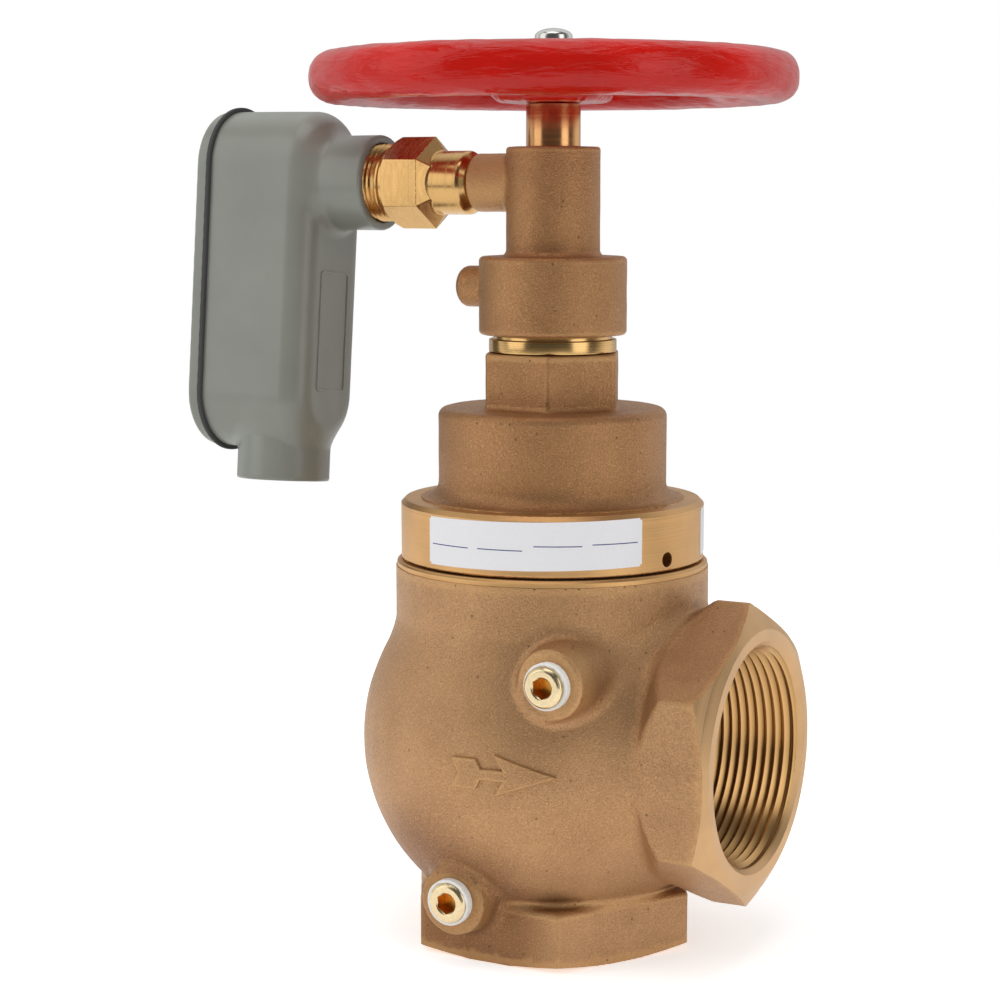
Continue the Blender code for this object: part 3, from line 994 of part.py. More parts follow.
def build_limit_switch(conduit, black, steel, brass, red):
    """Limit switch with its button and terminals, on a bent bracket screwed to the shell."""
    bottom = SWITCH_RISE - SWITCH_HEIGHT
    half = SWITCH_WIDTH / 2
    end = SWITCH_START + SWITCH_DEPTH
    case = prism("limit_switch", rectangle(bottom, SWITCH_RISE, -half, half), SWITCH_START, end,
                 conduit, black)
    for index in range(TERMINAL_COUNT):
        middle = bottom + SWITCH_HEIGHT * (index + 0.5) / TERMINAL_COUNT
        blade = prism(f"switch_terminal_{index + 1}",
                      rectangle(middle - TERMINAL_THICKNESS / 2, middle + TERMINAL_THICKNESS / 2,
                                -TERMINAL_WIDTH / 2, TERMINAL_WIDTH / 2),
                      end - CUT_OVERRUN, end + TERMINAL_LENGTH, conduit)
        combine(case, blade, "UNION")
    pocket = disc_outline(BUTTON_RADIUS + RUNNING_GAP, SWITCH_START - CUT_OVERRUN,
                          SWITCH_START + BUTTON_LENGTH + PLUNGER_TRAVEL / 2)
    combine(case, turned("button_pocket", pocket, conduit, sides=SMALL_ROUND), "DIFFERENCE")
    button_start = PLUNGER_END + SEAT_GAP
    button = rounded([(0, button_start), (BUTTON_RADIUS, button_start, BUTTON_ROUND),
                      (BUTTON_RADIUS, button_start + BUTTON_LENGTH), (0, button_start + BUTTON_LENGTH)])
    turned("switch_button", button, conduit, red, SMALL_ROUND)

    plate = half + SEAT_GAP
    wall_face = CONDUIT_FRONT + CONDUIT_WALL + SEAT_GAP
    side_low = bottom - BRACKET_THICKNESS
    bracket = prism("switch_bracket", rectangle(side_low - BRACKET_EAR_DROP, SWITCH_RISE,
                                                plate, plate + BRACKET_THICKNESS),
                    wall_face, end, conduit, steel)
    lighten = prism("bracket_relief", rectangle(side_low - BRACKET_EAR_DROP - CUT_OVERRUN, side_low,
                                                plate - CUT_OVERRUN, plate + 2 * BRACKET_THICKNESS),
                    wall_face + 2 * BRACKET_THICKNESS, end + CUT_OVERRUN, conduit)
    combine(bracket, lighten, "DIFFERENCE")
    ear = prism("bracket_ear", rectangle(side_low - BRACKET_EAR_DROP, side_low,
                                         -plate, plate + BRACKET_THICKNESS / 2),
                wall_face, wall_face + BRACKET_THICKNESS, conduit)
    combine(bracket, ear, "UNION")

    clear = SWITCH_SCREW_RADIUS + SEAT_GAP
    ear_hole = turned("bracket_ear_hole",
                      disc_outline(clear, CONDUIT_FRONT, wall_face + 2 * BRACKET_THICKNESS),
                      conduit, sides=SMALL_ROUND, location=(bracket_screw_rise(), 0, 0))
    combine(bracket, ear_hole, "DIFFERENCE")
    head_low = wall_face + BRACKET_THICKNESS + SEAT_GAP
    screw = [(0, CONDUIT_FRONT + 3 * SEAT_GAP), (SWITCH_SCREW_RADIUS, CONDUIT_FRONT + 3 * SEAT_GAP),
             (SWITCH_SCREW_RADIUS, head_low), (SWITCH_SCREW_HEAD_RADIUS, head_low),
             (SWITCH_SCREW_HEAD_RADIUS, head_low + SWITCH_SCREW_HEAD_HEIGHT, SWITCH_SCREW_HEAD_ROUND),
             (0, head_low + SWITCH_SCREW_HEAD_HEIGHT)]
    turned("bracket_screw", rounded(screw), conduit, steel, SMALL_ROUND, (bracket_screw_rise(), 0, 0))

    depth = end - SWITCH_SCREW_HEAD_RADIUS - BRACKET_THICKNESS
    for side, rise in switch_screw_places():
        place = (rise, 0, depth)
        hole = turned(side + "_switch_hole", disc_outline(clear, -plate - CUT_OVERRUN, 2 * plate),
                      conduit, sides=SMALL_ROUND, location=place, rotation=ALONG_MINUS_Y)
        combine(case, hole, "DIFFERENCE")
        tap = turned(side + "_bracket_hole", disc_outline(clear, -2 * plate, 0), conduit,
                     sides=SMALL_ROUND, location=place, rotation=ALONG_MINUS_Y)
        combine(bracket, tap, "DIFFERENCE")
        shape = [(0, -plate - BRACKET_THICKNESS), (SWITCH_SCREW_RADIUS, -plate - BRACKET_THICKNESS),
                 (SWITCH_SCREW_RADIUS, plate), (SWITCH_SCREW_HEAD_RADIUS, plate),
                 (SWITCH_SCREW_HEAD_RADIUS, plate + SWITCH_SCREW_HEAD_HEIGHT, SWITCH_SCREW_HEAD_ROUND),
                 (0, plate + SWITCH_SCREW_HEAD_HEIGHT)]
        turned("switch_screw_" + side, rounded(shape), conduit, brass, SMALL_ROUND, place, ALONG_MINUS_Y)


def build_handwheel(parent, red, steel):
    """Cast handwheel on the stem's square, with its washer and domed nut."""
    rim = []
    for step in range(RIM_SIDES):
        angle = math.tau * step / RIM_SIDES
        rim.append((RIM_RADIUS + RIM_HALF_WIDTH * math.cos(angle),
                    RIM_CENTRE + RIM_HALF_HEIGHT * math.sin(angle)))
    wheel = turned("handwheel", rim, parent, red, RIM_ROUND)
    hub = rounded([(0, WHEEL_HUB_BOTTOM), (WHEEL_HUB_RADIUS, WHEEL_HUB_BOTTOM, WHEEL_HUB_FILLET),
                   (WHEEL_HUB_RADIUS - WHEEL_HUB_FILLET, WHEEL_HUB_TOP, WHEEL_HUB_FILLET),
                   (0, WHEEL_HUB_TOP)])
    hub_solid = turned("wheel_hub", hub, parent, sides=MIDDLE_ROUND)
    combine(wheel, hub_solid, "UNION")
    for index in range(SPOKE_COUNT):
        section = []
        for step in range(SPOKE_SIDES):
            angle = math.tau * step / SPOKE_SIDES
            section.append((SPOKE_HALF_HEIGHT * math.cos(angle), SPOKE_HALF_WIDTH * math.sin(angle)))
        turn = math.radians(SPOKE_TURN + 360 * index / SPOKE_COUNT)
        spoke = prism(f"spoke_{index + 1}", section, WHEEL_HUB_RADIUS / 2, RIM_RADIUS, parent,
                      location=(0, 0, RIM_CENTRE), rotation=(0, math.radians(90), turn))
        combine(wheel, spoke, "UNION")
    half = STEM_SQUARE / 2 + SEAT_GAP
    socket = prism("wheel_socket", rectangle(-half, half, -half, half), WHEEL_HUB_BOTTOM - CUT_OVERRUN,
                   WHEEL_HUB_TOP + CUT_OVERRUN, parent)
    combine(wheel, socket, "DIFFERENCE")

    clear = STEM_END_RADIUS + SEAT_GAP
    turned("wheel_washer", ring_outline(clear, WHEEL_WASHER_RADIUS, WHEEL_WASHER_BOTTOM,
                                        WHEEL_WASHER_BOTTOM + WHEEL_WASHER_THICKNESS),
           parent, steel, MIDDLE_ROUND)
    top = WHEEL_NUT_BOTTOM + WHEEL_NUT_HEIGHT
    shoulder = top - WHEEL_NUT_DOME
    corner = WHEEL_NUT_FLATS / 2 / math.cos(math.radians(30))
    dome = [(0, WHEEL_NUT_BOTTOM), (corner, WHEEL_NUT_BOTTOM), (corner, shoulder),
            (corner - WHEEL_NUT_BEVEL, shoulder + WHEEL_NUT_SHOULDER),
            (corner / 2, top - WHEEL_NUT_CROWN), (0, top)]
    nut = turned("wheel_nut", dome, parent, steel, MIDDLE_ROUND)
    flats = prism("wheel_nut_hexagon", hexagon(WHEEL_NUT_FLATS), WHEEL_NUT_BOTTOM - CUT_OVERRUN,
                  top + CUT_OVERRUN, parent)
    combine(nut, flats, "INTERSECT")
    thread = disc_outline(clear, WHEEL_NUT_BOTTOM - CUT_OVERRUN,
                          WHEEL_NUT_BOTTOM + WHEEL_NUT_HEIGHT / 2 + SEAT_GAP)
    combine(nut, turned("wheel_nut_thread", thread, parent, sides=SMALL_ROUND), "DIFFERENCE")


def main():
    """Builds every piece of the valve."""
    for leftover in list(bpy.data.objects):
        bpy.data.objects.remove(leftover)

    cast_bronze = new_material("cast_bronze", (0.38, 0.19, 0.09), 0.5, 0.85)
    brass = new_material("brass", (0.75, 0.50, 0.18), 0.28, 1.0)
    steel = new_material("zinc_steel", (0.60, 0.60, 0.58), 0.3, 1.0)
    red = new_material("red_enamel", (0.55, 0.01, 0.008), 0.2, 0.0)
    grey = new_material("grey_paint", (0.25, 0.26, 0.24), 0.4, 0.0)
    rubber = new_material("black_rubber", (0.02, 0.02, 0.02), 0.7, 0.0)
    tape = new_material("white_tape", (0.85, 0.85, 0.83), 0.6, 0.0)
    packing = new_material("graphite_packing", (0.06, 0.06, 0.06), 0.8, 0.0)
    black = new_material("black_plastic", (0.03, 0.03, 0.03), 0.4, 0.0)

    valve = new_empty("valve_axis", location=(VALVE_AXIS_X, 0, 0))
    branch = new_empty("branch_axis", valve, (0, 0, BRANCH_HEIGHT), ALONG_MINUS_X)
    conduit = new_empty("conduit_frame", branch, rotation=(0, 0, math.radians(CONDUIT_LEAN)))

    build_valve_body(valve, cast_bronze)
    build_gauge_plugs(valve, brass, tape)
    build_seat(valve, brass)
    build_disc_pieces(valve, brass, steel, rubber)
    build_piston(valve, cast_bronze, brass, rubber)
    build_guide_plate(valve, cast_bronze)
    helix("regulating_spring", SPRING_RADIUS, SPRING_WIRE_RADIUS, GUIDE_TOP + SEAT_GAP,
          PISTON_BOTTOM - SEAT_GAP, SPRING_TURNS, valve, steel)
    build_bonnet(valve, cast_bronze, rubber)
    build_stem_pieces(valve, brass, packing)
    build_stem(valve, brass)
    build_switch_housing(valve, cast_bronze)
    build_adaptor(branch, brass, steel)
    build_conduit_body(conduit, grey)
    build_cover(conduit, grey, rubber, steel)
    build_limit_switch(conduit, black, steel, brass, red)
    build_handwheel(valve, red, steel)


main()
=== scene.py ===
"""Looks of an angle pattern fire hose valve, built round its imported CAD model.

The castings are closed skins of distance fields, so their fillets run as a foundry's do and their
machined edges stay crisp. Turned pieces are lathe profiles. Threads, springs and printed rules come
from Geometry Nodes. Units are metres, +Z is up and the valve stands on its inlet face at Z = 0.
"""

import functools
import json
import math

import bmesh
import bpy
import numpy as np
from mathutils import Euler, Matrix, Vector


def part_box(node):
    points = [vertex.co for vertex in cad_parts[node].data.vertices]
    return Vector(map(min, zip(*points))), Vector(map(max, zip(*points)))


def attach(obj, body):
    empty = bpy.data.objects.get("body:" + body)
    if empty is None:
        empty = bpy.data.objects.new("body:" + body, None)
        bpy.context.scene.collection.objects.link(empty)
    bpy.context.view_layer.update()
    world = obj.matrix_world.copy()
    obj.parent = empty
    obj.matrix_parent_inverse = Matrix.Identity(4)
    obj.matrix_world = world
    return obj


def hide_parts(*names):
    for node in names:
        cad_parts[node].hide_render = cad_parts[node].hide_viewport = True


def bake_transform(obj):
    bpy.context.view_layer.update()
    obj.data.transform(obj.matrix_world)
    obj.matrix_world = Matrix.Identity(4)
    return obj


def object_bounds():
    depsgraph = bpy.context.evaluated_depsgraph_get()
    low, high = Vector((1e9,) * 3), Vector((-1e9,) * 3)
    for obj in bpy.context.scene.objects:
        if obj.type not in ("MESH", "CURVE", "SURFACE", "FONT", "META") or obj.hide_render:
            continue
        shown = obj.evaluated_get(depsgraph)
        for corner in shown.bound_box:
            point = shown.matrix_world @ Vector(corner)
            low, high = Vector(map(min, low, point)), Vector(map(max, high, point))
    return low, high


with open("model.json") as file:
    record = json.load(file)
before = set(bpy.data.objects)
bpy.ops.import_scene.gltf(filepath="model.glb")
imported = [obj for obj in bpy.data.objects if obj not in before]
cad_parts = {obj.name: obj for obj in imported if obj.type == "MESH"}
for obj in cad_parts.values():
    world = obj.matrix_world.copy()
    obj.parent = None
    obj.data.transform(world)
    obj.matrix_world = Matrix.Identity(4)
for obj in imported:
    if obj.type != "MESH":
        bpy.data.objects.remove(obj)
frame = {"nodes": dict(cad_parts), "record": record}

bl_info = {
    "name": "Fire Hose Valve",
    "version": (1, 0, 0),
    "blender": (4, 5, 0),
    "location": "3D View > Sidebar > Valve",
    "description": "Builds the cast, turned and painted pieces of a fire hose valve round its frame",
    "category": "Object",
}

MM = 0.001
CAD_BOX = [list(corner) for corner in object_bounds()]


def middle(node, axis):
    """Middle of a CAD node's box along one axis."""
    low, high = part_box(node)
    return (low[axis] + high[axis]) / 2


# Places that the frame gives
AXIS_X = middle("packing_nut", 0)
BODY_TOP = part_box("valve_body")[1].z
OUTLET_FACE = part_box("valve_body")[1].x - AXIS_X
BRANCH_Z = middle("conduit_adaptor", 2)
HOUSING_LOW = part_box("switch_housing")[0].z
HOUSING_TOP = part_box("switch_housing")[1].z
STEM_LOW, STEM_HIGH = (corner.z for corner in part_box("stem"))

# Gap between mating pieces, rounding of plain edges, and how near a machined face counts as on it
CLEARANCE = 0.3 * MM
EDGE = 0.5 * MM
FACE_REACH = 0.1 * MM
FLAT_REACH = 0.05 * MM
BORE_REACH = 0.2 * MM

# Body casting
BULB_RADIUS = 63.9 * MM
BULB_HALF_HEIGHT = 64.4 * MM
BULB_CENTRE = 68.0 * MM
BULB_WALL = 6.0 * MM
COLLAR_RADIUS = 52.6 * MM
COLLAR_START = 98.0 * MM
COLLAR_BAND = 2.2 * MM
BAND_STEP = 0.35 * MM
INLET_FLATS = 89.0 * MM
INLET_HEX_TOP = 20.0 * MM
INLET_FACE_RADIUS = 44.4 * MM
INLET_CHAMFER_SLOPE = 3.4
BORE_RADIUS = 36.5 * MM
BORE_DEPTH = 26.0 * MM
BORE_LEAD_IN = 1.7 * MM
SEAT_HOLE_RADIUS = 26.5 * MM
WEB_TOP = 34.0 * MM
CAVITY_TOP = 104.0 * MM
ROOF_HOLE_RADIUS = 40.0 * MM
BONNET_THREAD_RADIUS = 45.3 * MM
LAND_WIDTH = 6.0 * MM
LAND_CHAMFER = 0.8 * MM
COLLAR_FILLET = 3.5 * MM
COLLAR_EDGE = 0.5 * MM
MOUTH_FILLET = 3.0 * MM
MOUTH_BACK_ROUND = 0.9 * MM
INLET_FILLET = 3.5 * MM
INLET_ROUND = 2.0 * MM
BONNET_FLOOR = 112.0 * MM
OUTLET_Z = 68.3 * MM
OUTLET_FLATS = 88.3 * MM
OUTLET_HEX_LENGTH = 16.2 * MM
OUTLET_BACK_LENGTH = 8.0 * MM
OUTLET_BACK_DROP = 6.8 * MM
OUTLET_FACE_RADIUS = 42.0 * MM
OUTLET_CHAMFER_SLOPE = 2.0
NECK_RADIUS = 42.0 * MM
NECK_START = 17.0 * MM
OUTLET_BORE_START = 40.0 * MM
CAST_EDGE = 0.7 * MM

# Gauge plugs: X, height and boss face distance from the axis, plug face distance
PLUGS = (
    ("upper", 28.5 * MM, 98.0 * MM, 57.0 * MM, 62.0 * MM),
    ("lower", -8.0 * MM, 22.5 * MM, 54.7 * MM, 58.7 * MM),
)
PLUG_RADIUS = 6.7 * MM
PLUG_LENGTH = 16.0 * MM
PLUG_SOCKET_FLATS = 6.35 * MM
PLUG_SOCKET_DEPTH = 5.0 * MM
PLUG_SOCKET_EDGE = 0.15 * MM
PLUG_SOCKET_LEAD_IN = 0.55 * MM
PLUG_CHAMFER = 1.0 * MM
PLUG_ROUND = 0.3 * MM
PLUG_BOSS_RADIUS = 11.3 * MM
PLUG_BOSS_FLARE = 0.16
PLUG_BOSS_ROUND = 1.1 * MM
PLUG_BOSS_ROOT = 20.0 * MM
PLUG_BORE_END = 40.0 * MM
PLUG_GAP = 0.3 * MM
TAPE_RADIUS = 7.6 * MM
TAPE_WIDTH = 2.8 * MM

# Flow arrow cast on the side of the body
ARROW_Z = 68.6 * MM
ARROW_TAIL = -2.0 * MM
ARROW_TIP = 30.5 * MM
ARROW_HEAD_LENGTH = 14.0 * MM
ARROW_HEAD_HALF = 4.9 * MM
ARROW_SHAFT_HALF = 1.5 * MM
ARROW_FLIGHT_LENGTH = 7.0 * MM
ARROW_FLIGHT_HALF = 4.6 * MM
ARROW_BARB_SLOPE = 0.6
ARROW_NOTCH_SLOPE = 0.55
ARROW_SHAFT_TAIL = 4.0 * MM
ARROW_SHAFT_TIP = 2.0 * MM
ARROW_SHRINK = 0.25 * MM
ARROW_ROUND = 0.3 * MM
ARROW_ROOT = 0.8 * MM

# Painted shade: a darker, browner patch painted on the casting skin round the lower gauge boss, where the
# inlet hexagon's left flat should fall into shade
PAINTED_SHADE_PLACE = (AXIS_X - 18 * MM, -50 * MM, 12 * MM)
PAINTED_SHADE_CORE = 26 * MM
PAINTED_SHADE_REACH = 49 * MM

# Bonnet
FLANGE_RADIUS = 50.8 * MM
FLANGE_LOW = 129.6 * MM
FLANGE_TOP_Z = 149.8 * MM
FLANGE_CHAMFER = 1.5 * MM
FLANGE_STEP = 0.5 * MM
DOME_RADIUS = 38.2 * MM
DOME_TOP = 179.6 * MM
DOME_FOOT_RADIUS = 44.0 * MM
DOME_FOOT_FILLET = 5.0 * MM
DOME_ROUND = 2.8 * MM
NECK_HEX_FLATS = 43.0 * MM
NECK_HEX_TURN = math.radians(-66.0)
NECK_HEX_TOP = 198.0 * MM
NECK_HEX_EDGE = 0.8 * MM
NECK_HEX_FILLET = 2.0 * MM
SKIRT_LOW = 118.3 * MM
SKIRT_RADIUS = 45.0 * MM
SKIRT_STEP = 7.0 * MM
LABEL_LOW = 131.5 * MM
LABEL_SLANT = 1.0 * MM
FRONT_LABEL = (math.radians(-113.7), math.radians(-28.3))
SIDE_LABEL = (math.radians(12.0), math.radians(60.0))
# Printed rules of the front label: start and end along it, height on it, all as shares
RULES = ((0.023, 0.225, 0.43), (0.271, 0.473, 0.42), (0.520, 0.725, 0.50), (0.769, 0.977, 0.51))
PISTON_BORE_RADIUS = 31.0 * MM
PISTON_BORE_TOP = 173.2 * MM
SKIRT_BORE_RADIUS = 38.0 * MM
STEM_HOLE_RADIUS = 12.0 * MM
SPANNER_HOLE_RADIUS = 2.4 * MM
SPANNER_HOLE_Z = 133.4 * MM
SPANNER_HOLE_ANGLE = math.radians(-15.6)
SPANNER_HOLE_DEPTH = 8.0 * MM

# Stem and packing nut
STEM_RADIUS = 9.0 * MM
STEM_FOOT_RADIUS = 12.0 * MM
STEM_FOOT_HEIGHT = 4.2 * MM
CAM_WAIST_RADIUS = 6.0 * MM
CAM_TOP = 254.0 * MM
CAM_LENGTH = 19.0 * MM
STEM_SHOULDER_Z = 279.7 * MM
STEM_SQUARE_RADIUS = 5.5 * MM
STEM_TIP_RADIUS = 3.9 * MM
PACKING_NUT_RADIUS = 21.3 * MM
PACKING_NUT_BORE = 9.4 * MM
PACKING_NUT_TAIL_RADIUS = 14.0 * MM
PACKING_NUT_TAIL = 12.0 * MM
RING_LOW = 198.3 * MM
RING_TOP = 202.5 * MM
PACKING_NUT_SPIGOT = 19.9 * MM

# Springs: CAD node, coil radius, wire radius, turns, and the body that moves one end
SPRINGS = (
    ("regulating_spring", 24.0 * MM, 2.25 * MM, 4.0, "piston_assembly"),
    ("plunger_spring", 6.2 * MM, 0.6 * MM, 5.0, "plunger"),
)

# Switch housing
HOUSING_COLLAR_RADIUS = 24.6 * MM
HOUSING_COLLAR_TOP = 229.8 * MM
HOUSING_TUBE_RADIUS = 15.6 * MM
HOUSING_BORE_RADIUS = 10.0 * MM
HOUSING_SPIGOT_RADIUS = 20.2 * MM
HOUSING_SPIGOT_DEPTH = 9.0 * MM
HOUSING_FILLET = 2.2 * MM
HOUSING_ROUND = 1.6 * MM
BRANCH_RADIUS = 9.7 * MM
BRANCH_REACH = 28.2 * MM
BRANCH_BORE_RADIUS = 6.8 * MM
BOSS_Z = 219.3 * MM
BOSS_RADIUS = 6.9 * MM
BOSS_REACH = 34.6 * MM
BOSS_ROUND = 3.2 * MM
HOUSING_TOP_ROUND = 1.2 * MM
HOUSING_TUBE_ROOT = 4.0 * MM
BRANCH_ROUND = 1.0 * MM
BRANCH_FILLET = 1.8 * MM
BOSS_FILLET = 1.4 * MM

# Adaptor, measured out from the valve's axis along -X
NOSE_RADIUS = 10.7 * MM
NOSE_START = 28.5 * MM
NOSE_CHAMFER = 2.4 * MM
ADAPTOR_SPIGOT_RADIUS = 6.5 * MM
ADAPTOR_TAIL = 17.5 * MM
CONE_START = 40.8 * MM
HEX_START = 44.8 * MM
HEX_END = 59.1 * MM
ADAPTOR_FLATS = 27.0 * MM
ADAPTOR_CORE_RADIUS = 12.2 * MM
ADAPTOR_CHAMFER = 4.8 * MM
ADAPTOR_EDGE = 0.25 * MM
ADAPTOR_END_CHAMFER = 1.2 * MM
ADAPTOR_FILLET = 0.4 * MM
ADAPTOR_END = 78.0 * MM
ADAPTOR_BORE_RADIUS = 4.4 * MM
ADAPTOR_SPRING_BORE = 9.0 * MM
ADAPTOR_BORE_FLOOR = 50.0 * MM

# Conduit body, in its own leaning frame: distance out, height above the hub's axis, across
LEAN = math.radians(5.6)
HUB_RADIUS = 16.25 * MM
HUB_START = 65.8 * MM
HUB_BORE_RADIUS = 13.5 * MM
HUB_THROAT_RADIUS = 11.0 * MM
HUB_ROUND = 0.9 * MM
HUB_FILLET = 4.0 * MM
END_HUB_FILLET = 3.0 * MM
SHELL_FRONT = 84.0 * MM
SHELL_BACK = 124.0 * MM
SHELL_HALF_WIDTH = 20.0 * MM
SHELL_DRAFT = 0.5 * MM
SHELL_LENGTH = 118.5 * MM
SHELL_TOP = 25.0 * MM
SHELL_ROUND = 9.0 * MM
SHELL_WALL = 3.0 * MM
END_HUB_OUT = 102.0 * MM
END_HUB_DROP = 104.3 * MM
END_HUB_ROOT = 60.0 * MM
END_HUB_BORE_INSET = 1.5 * MM
END_HUB_THROAT_INSET = 16.0 * MM
GASKET_START = 124.0 * MM
GASKET_END = 125.5 * MM
GASKET_OVERHANG = 1.5 * MM
GASKET_HALF_WIDTH = 5.0 * MM
COVER_START = 125.5 * MM
COVER_END = 130.6 * MM
COVER_HALF_WIDTH = 19.8 * MM
COVER_ROUND = 1.2 * MM
COVER_SCREW_INSET = 5.5 * MM
COVER_SCREW_RADIUS = 4.0 * MM
COVER_SCREW_SINK = 1.7 * MM
COVER_SEAT_ROUND = 0.3 * MM
FRAME_TOP = -31.3 * MM
FRAME_BOTTOM = -72.3 * MM
FRAME_HALF_WIDTH = 8.4 * MM
FRAME_ROUND = 1.2 * MM
FRAME_LINE_HALF = 0.38 * MM
FRAME_EDGE = 0.2 * MM
FRAME_ROOT = 0.4 * MM

# Threads: how long the ridges are and where they start
OUTLET_THREAD_LENGTH = 32.0 * MM
OUTLET_THREAD_DEPTH = 33.5 * MM
INLET_THREAD_LENGTH = 20.0 * MM
INLET_THREAD_START = 3.0 * MM
ADAPTOR_THREAD_START = 1.6 * MM
ADAPTOR_THREAD_SPARE = 3.4 * MM
# Radii over which a thread's colour runs from crest to root; the root's brown is painted shade
THREAD_CREST = 35.3 * MM
THREAD_ROOT = 36.6 * MM

# Handwheel
RIM_RADIUS = 71.9 * MM
RIM_HALF_WIDTH = 8.4 * MM
RIM_HALF_HEIGHT = 8.3 * MM
RIM_Z = 288.1 * MM
RIM_POWER = 2.3
SPOKES = 5
SPOKE_TURN = math.radians(54.0)
SPOKE_HALF_WIDTH = 6.5 * MM
SPOKE_HALF_HEIGHT = 4.5 * MM
SPOKE_FILLET = 4.5 * MM
WHEEL_HUB_FILLET = 4.0 * MM
WHEEL_SOCKET_ROUND = 0.6 * MM
WHEEL_HUB_RADIUS = 19.7 * MM
WHEEL_HUB_LOW = 280.0 * MM
WHEEL_HUB_HIGH = 298.0 * MM
WHEEL_HUB_ROUND = 3.0 * MM
NUT_RADIUS = 6.2 * MM
NUT_SKIRT = 1.6 * MM
WASHER_BORE = 4.2 * MM
WASHER_RADIUS = 10.0 * MM

# Swell of the cast skins: height, length of its waves, seed
SWELLS = {
    "body": (0.07 * MM, 11 * MM, 3),
    "arrow": (0.05 * MM, 7 * MM, 5),
    "bonnet": (0.05 * MM, 9 * MM, 8),
    "housing": (0.05 * MM, 8 * MM, 12),
    "shell": (0.03 * MM, 14 * MM, 21),
}

# Camera and stage
CAMERA_AZIMUTH = math.radians(27.42)
CAMERA_DISTANCE = 776.0 * MM
CAMERA_Z = 252.0 * MM
CAMERA_PITCH = math.radians(7.63)
CAMERA_YAW = math.radians(1.30)
CAMERA_LENS = 83.66
SENSOR = 36.0
# How bright metal sees the room: in front, at the sides, behind the valve
ROOM_LEVEL = 0.1
SIDE_LEVEL = 1.0
SWEEP_LEVEL = 0.5
ROOM_LIGHT = 0.5
FLOOR_HALF = 0.8
FLOOR_GLOW = 0.5

# Soft boxes: azimuth from the -Y side, distance, height, width and height, power
LIGHTS = (
    ("key", -42.0, 1.5, 0.85, (1.1, 1.9), 9.5),
    ("fill", 78.0, 1.5, 0.5, (0.8, 1.3), 5.5),
    ("top", 10.0, 0.25, 1.6, (1.1, 0.9), 6.0),
)


def linear(hex_colour):
    """Linear RGBA of an sRGB hex colour such as "A87E58"."""
    channels = [int(hex_colour[at:at + 2], 16) / 255 for at in (0, 2, 4)]
    return [c / 12.92 if c <= 0.04045 else ((c + 0.055) / 1.055) ** 2.4 for c in channels] + [1.0]


def size_property(label, description, millimetres):
    """Length that a user would change, given in millimetres."""
    return bpy.props.FloatProperty(name=label, description=description, default=millimetres * MM,
                                   min=0.0, unit="LENGTH", precision=5)


def colour_property(label, description, hex_colour):
    """Colour that a user would change, given as sRGB hex."""
    return bpy.props.FloatVectorProperty(name=label, description=description, size=4, subtype="COLOR",
                                         min=0.0, max=1.0, default=linear(hex_colour))


class ValveSizes(bpy.types.PropertyGroup):
    """Sizes of the finish that the frame doesn't fix."""

    body_fillet: size_property("Body fillet", "Cast fillet between the bulb and the outlet's neck", 9.0)
    boss_fillet: size_property("Boss fillet", "Cast fillet round the two gauge bosses", 3.5)
    arrow_height: size_property("Arrow height", "How far the flow arrow stands off the casting", 1.0)
    pipe_pitch: size_property("Pipe thread pitch", "Pitch of the 8 per inch pipe threads", 3.175)
    pipe_depth: size_property("Pipe thread depth", "Height of the pipe threads' ridges", 1.35)
    conduit_pitch: size_property("Conduit thread pitch", "Pitch of the 14 per inch conduit threads", 1.814)
    conduit_depth: size_property("Conduit thread depth", "Height of the conduit threads' ridges", 1.0)
    paint_wave: size_property("Paint wave", "Height of the runs in the handwheel's enamel", 0.11)
    rib_height: size_property("Rib height", "Height of the plain raised frame on the conduit body", 0.35)
    label_height: size_property("Label height", "Height of the paper labels", 15.6)
    label_lift: size_property("Label thickness", "Thickness of the paper labels", 0.12)
    rule_width: size_property("Rule width", "Width of the labels' printed rules", 0.32)


class ValveColours(bpy.types.PropertyGroup):
    """Colours of the finishes."""

    bronze: colour_property("Cast bronze", "Sand-cast bronze of the body", "B68D64")
    upper_bronze: colour_property("Bonnet bronze", "Sand-cast bronze of the bonnet and housing", "AC8056")
    # Painted shade: the darker bronze painted into hollows and into the patch round the lower gauge boss;
    # it also colours the random stains
    bronze_dark: colour_property("Bronze in recesses", "Casting skin in corners and pores", "754B2D")
    machined: colour_property("Machined bronze", "Turned faces of the casting", "D0A46E")
    faced: colour_property("Faced bronze", "Machined face of the outlet", "C8A276")
    plug_brass: colour_property("Plug brass", "Pale brass of the gauge plugs", "DCC8A0")
    socket_brass: colour_property("Socket brass", "Brass deep in the plugs' sockets", "D89840")
    stem_bronze: colour_property("Stem bronze", "Turned bronze of the stem", "D09C68")
    # Painted shade: the brown painted into the roots of the cut threads
    thread_root: colour_property("Thread root", "Bottom of the cut threads", "B08A54")
    brass: colour_property("Brass", "Turned and polished brass", "D6AE72")
    adaptor_brass: colour_property("Adaptor brass", "Drawn brass of the conduit adaptor", "CBA268")
    enamel: colour_property("Enamel", "Glossy enamel of the handwheel", "C8160A")
    grey_paint: colour_property("Grey paint", "Satin paint of the conduit body", "85887F")
    rubber: colour_property("Rubber", "Gasket and seals", "1E1F1E")
    tape: colour_property("Thread tape", "Wound thread tape", "F2F2EE")
    paper: colour_property("Label paper", "Face of the labels", "EDEDF0")
    ink: colour_property("Label ink", "Printed rule lines", "3C4682")
    zinc: colour_property("Zinc plate", "Plated screws and nuts", "C9C9C4")
    plastic: colour_property("Moulded plastic", "Case of the limit switch", "1C1C1E")
    button: colour_property("Button", "Button of the limit switch", "B3201A")


# Distance fields
def filleted(first, second, radius):
    """Union of two fields with a concave fillet where they meet."""
    return np.maximum(radius, np.minimum(first, second)) - np.hypot(
        np.maximum(radius - first, 0), np.maximum(radius - second, 0))


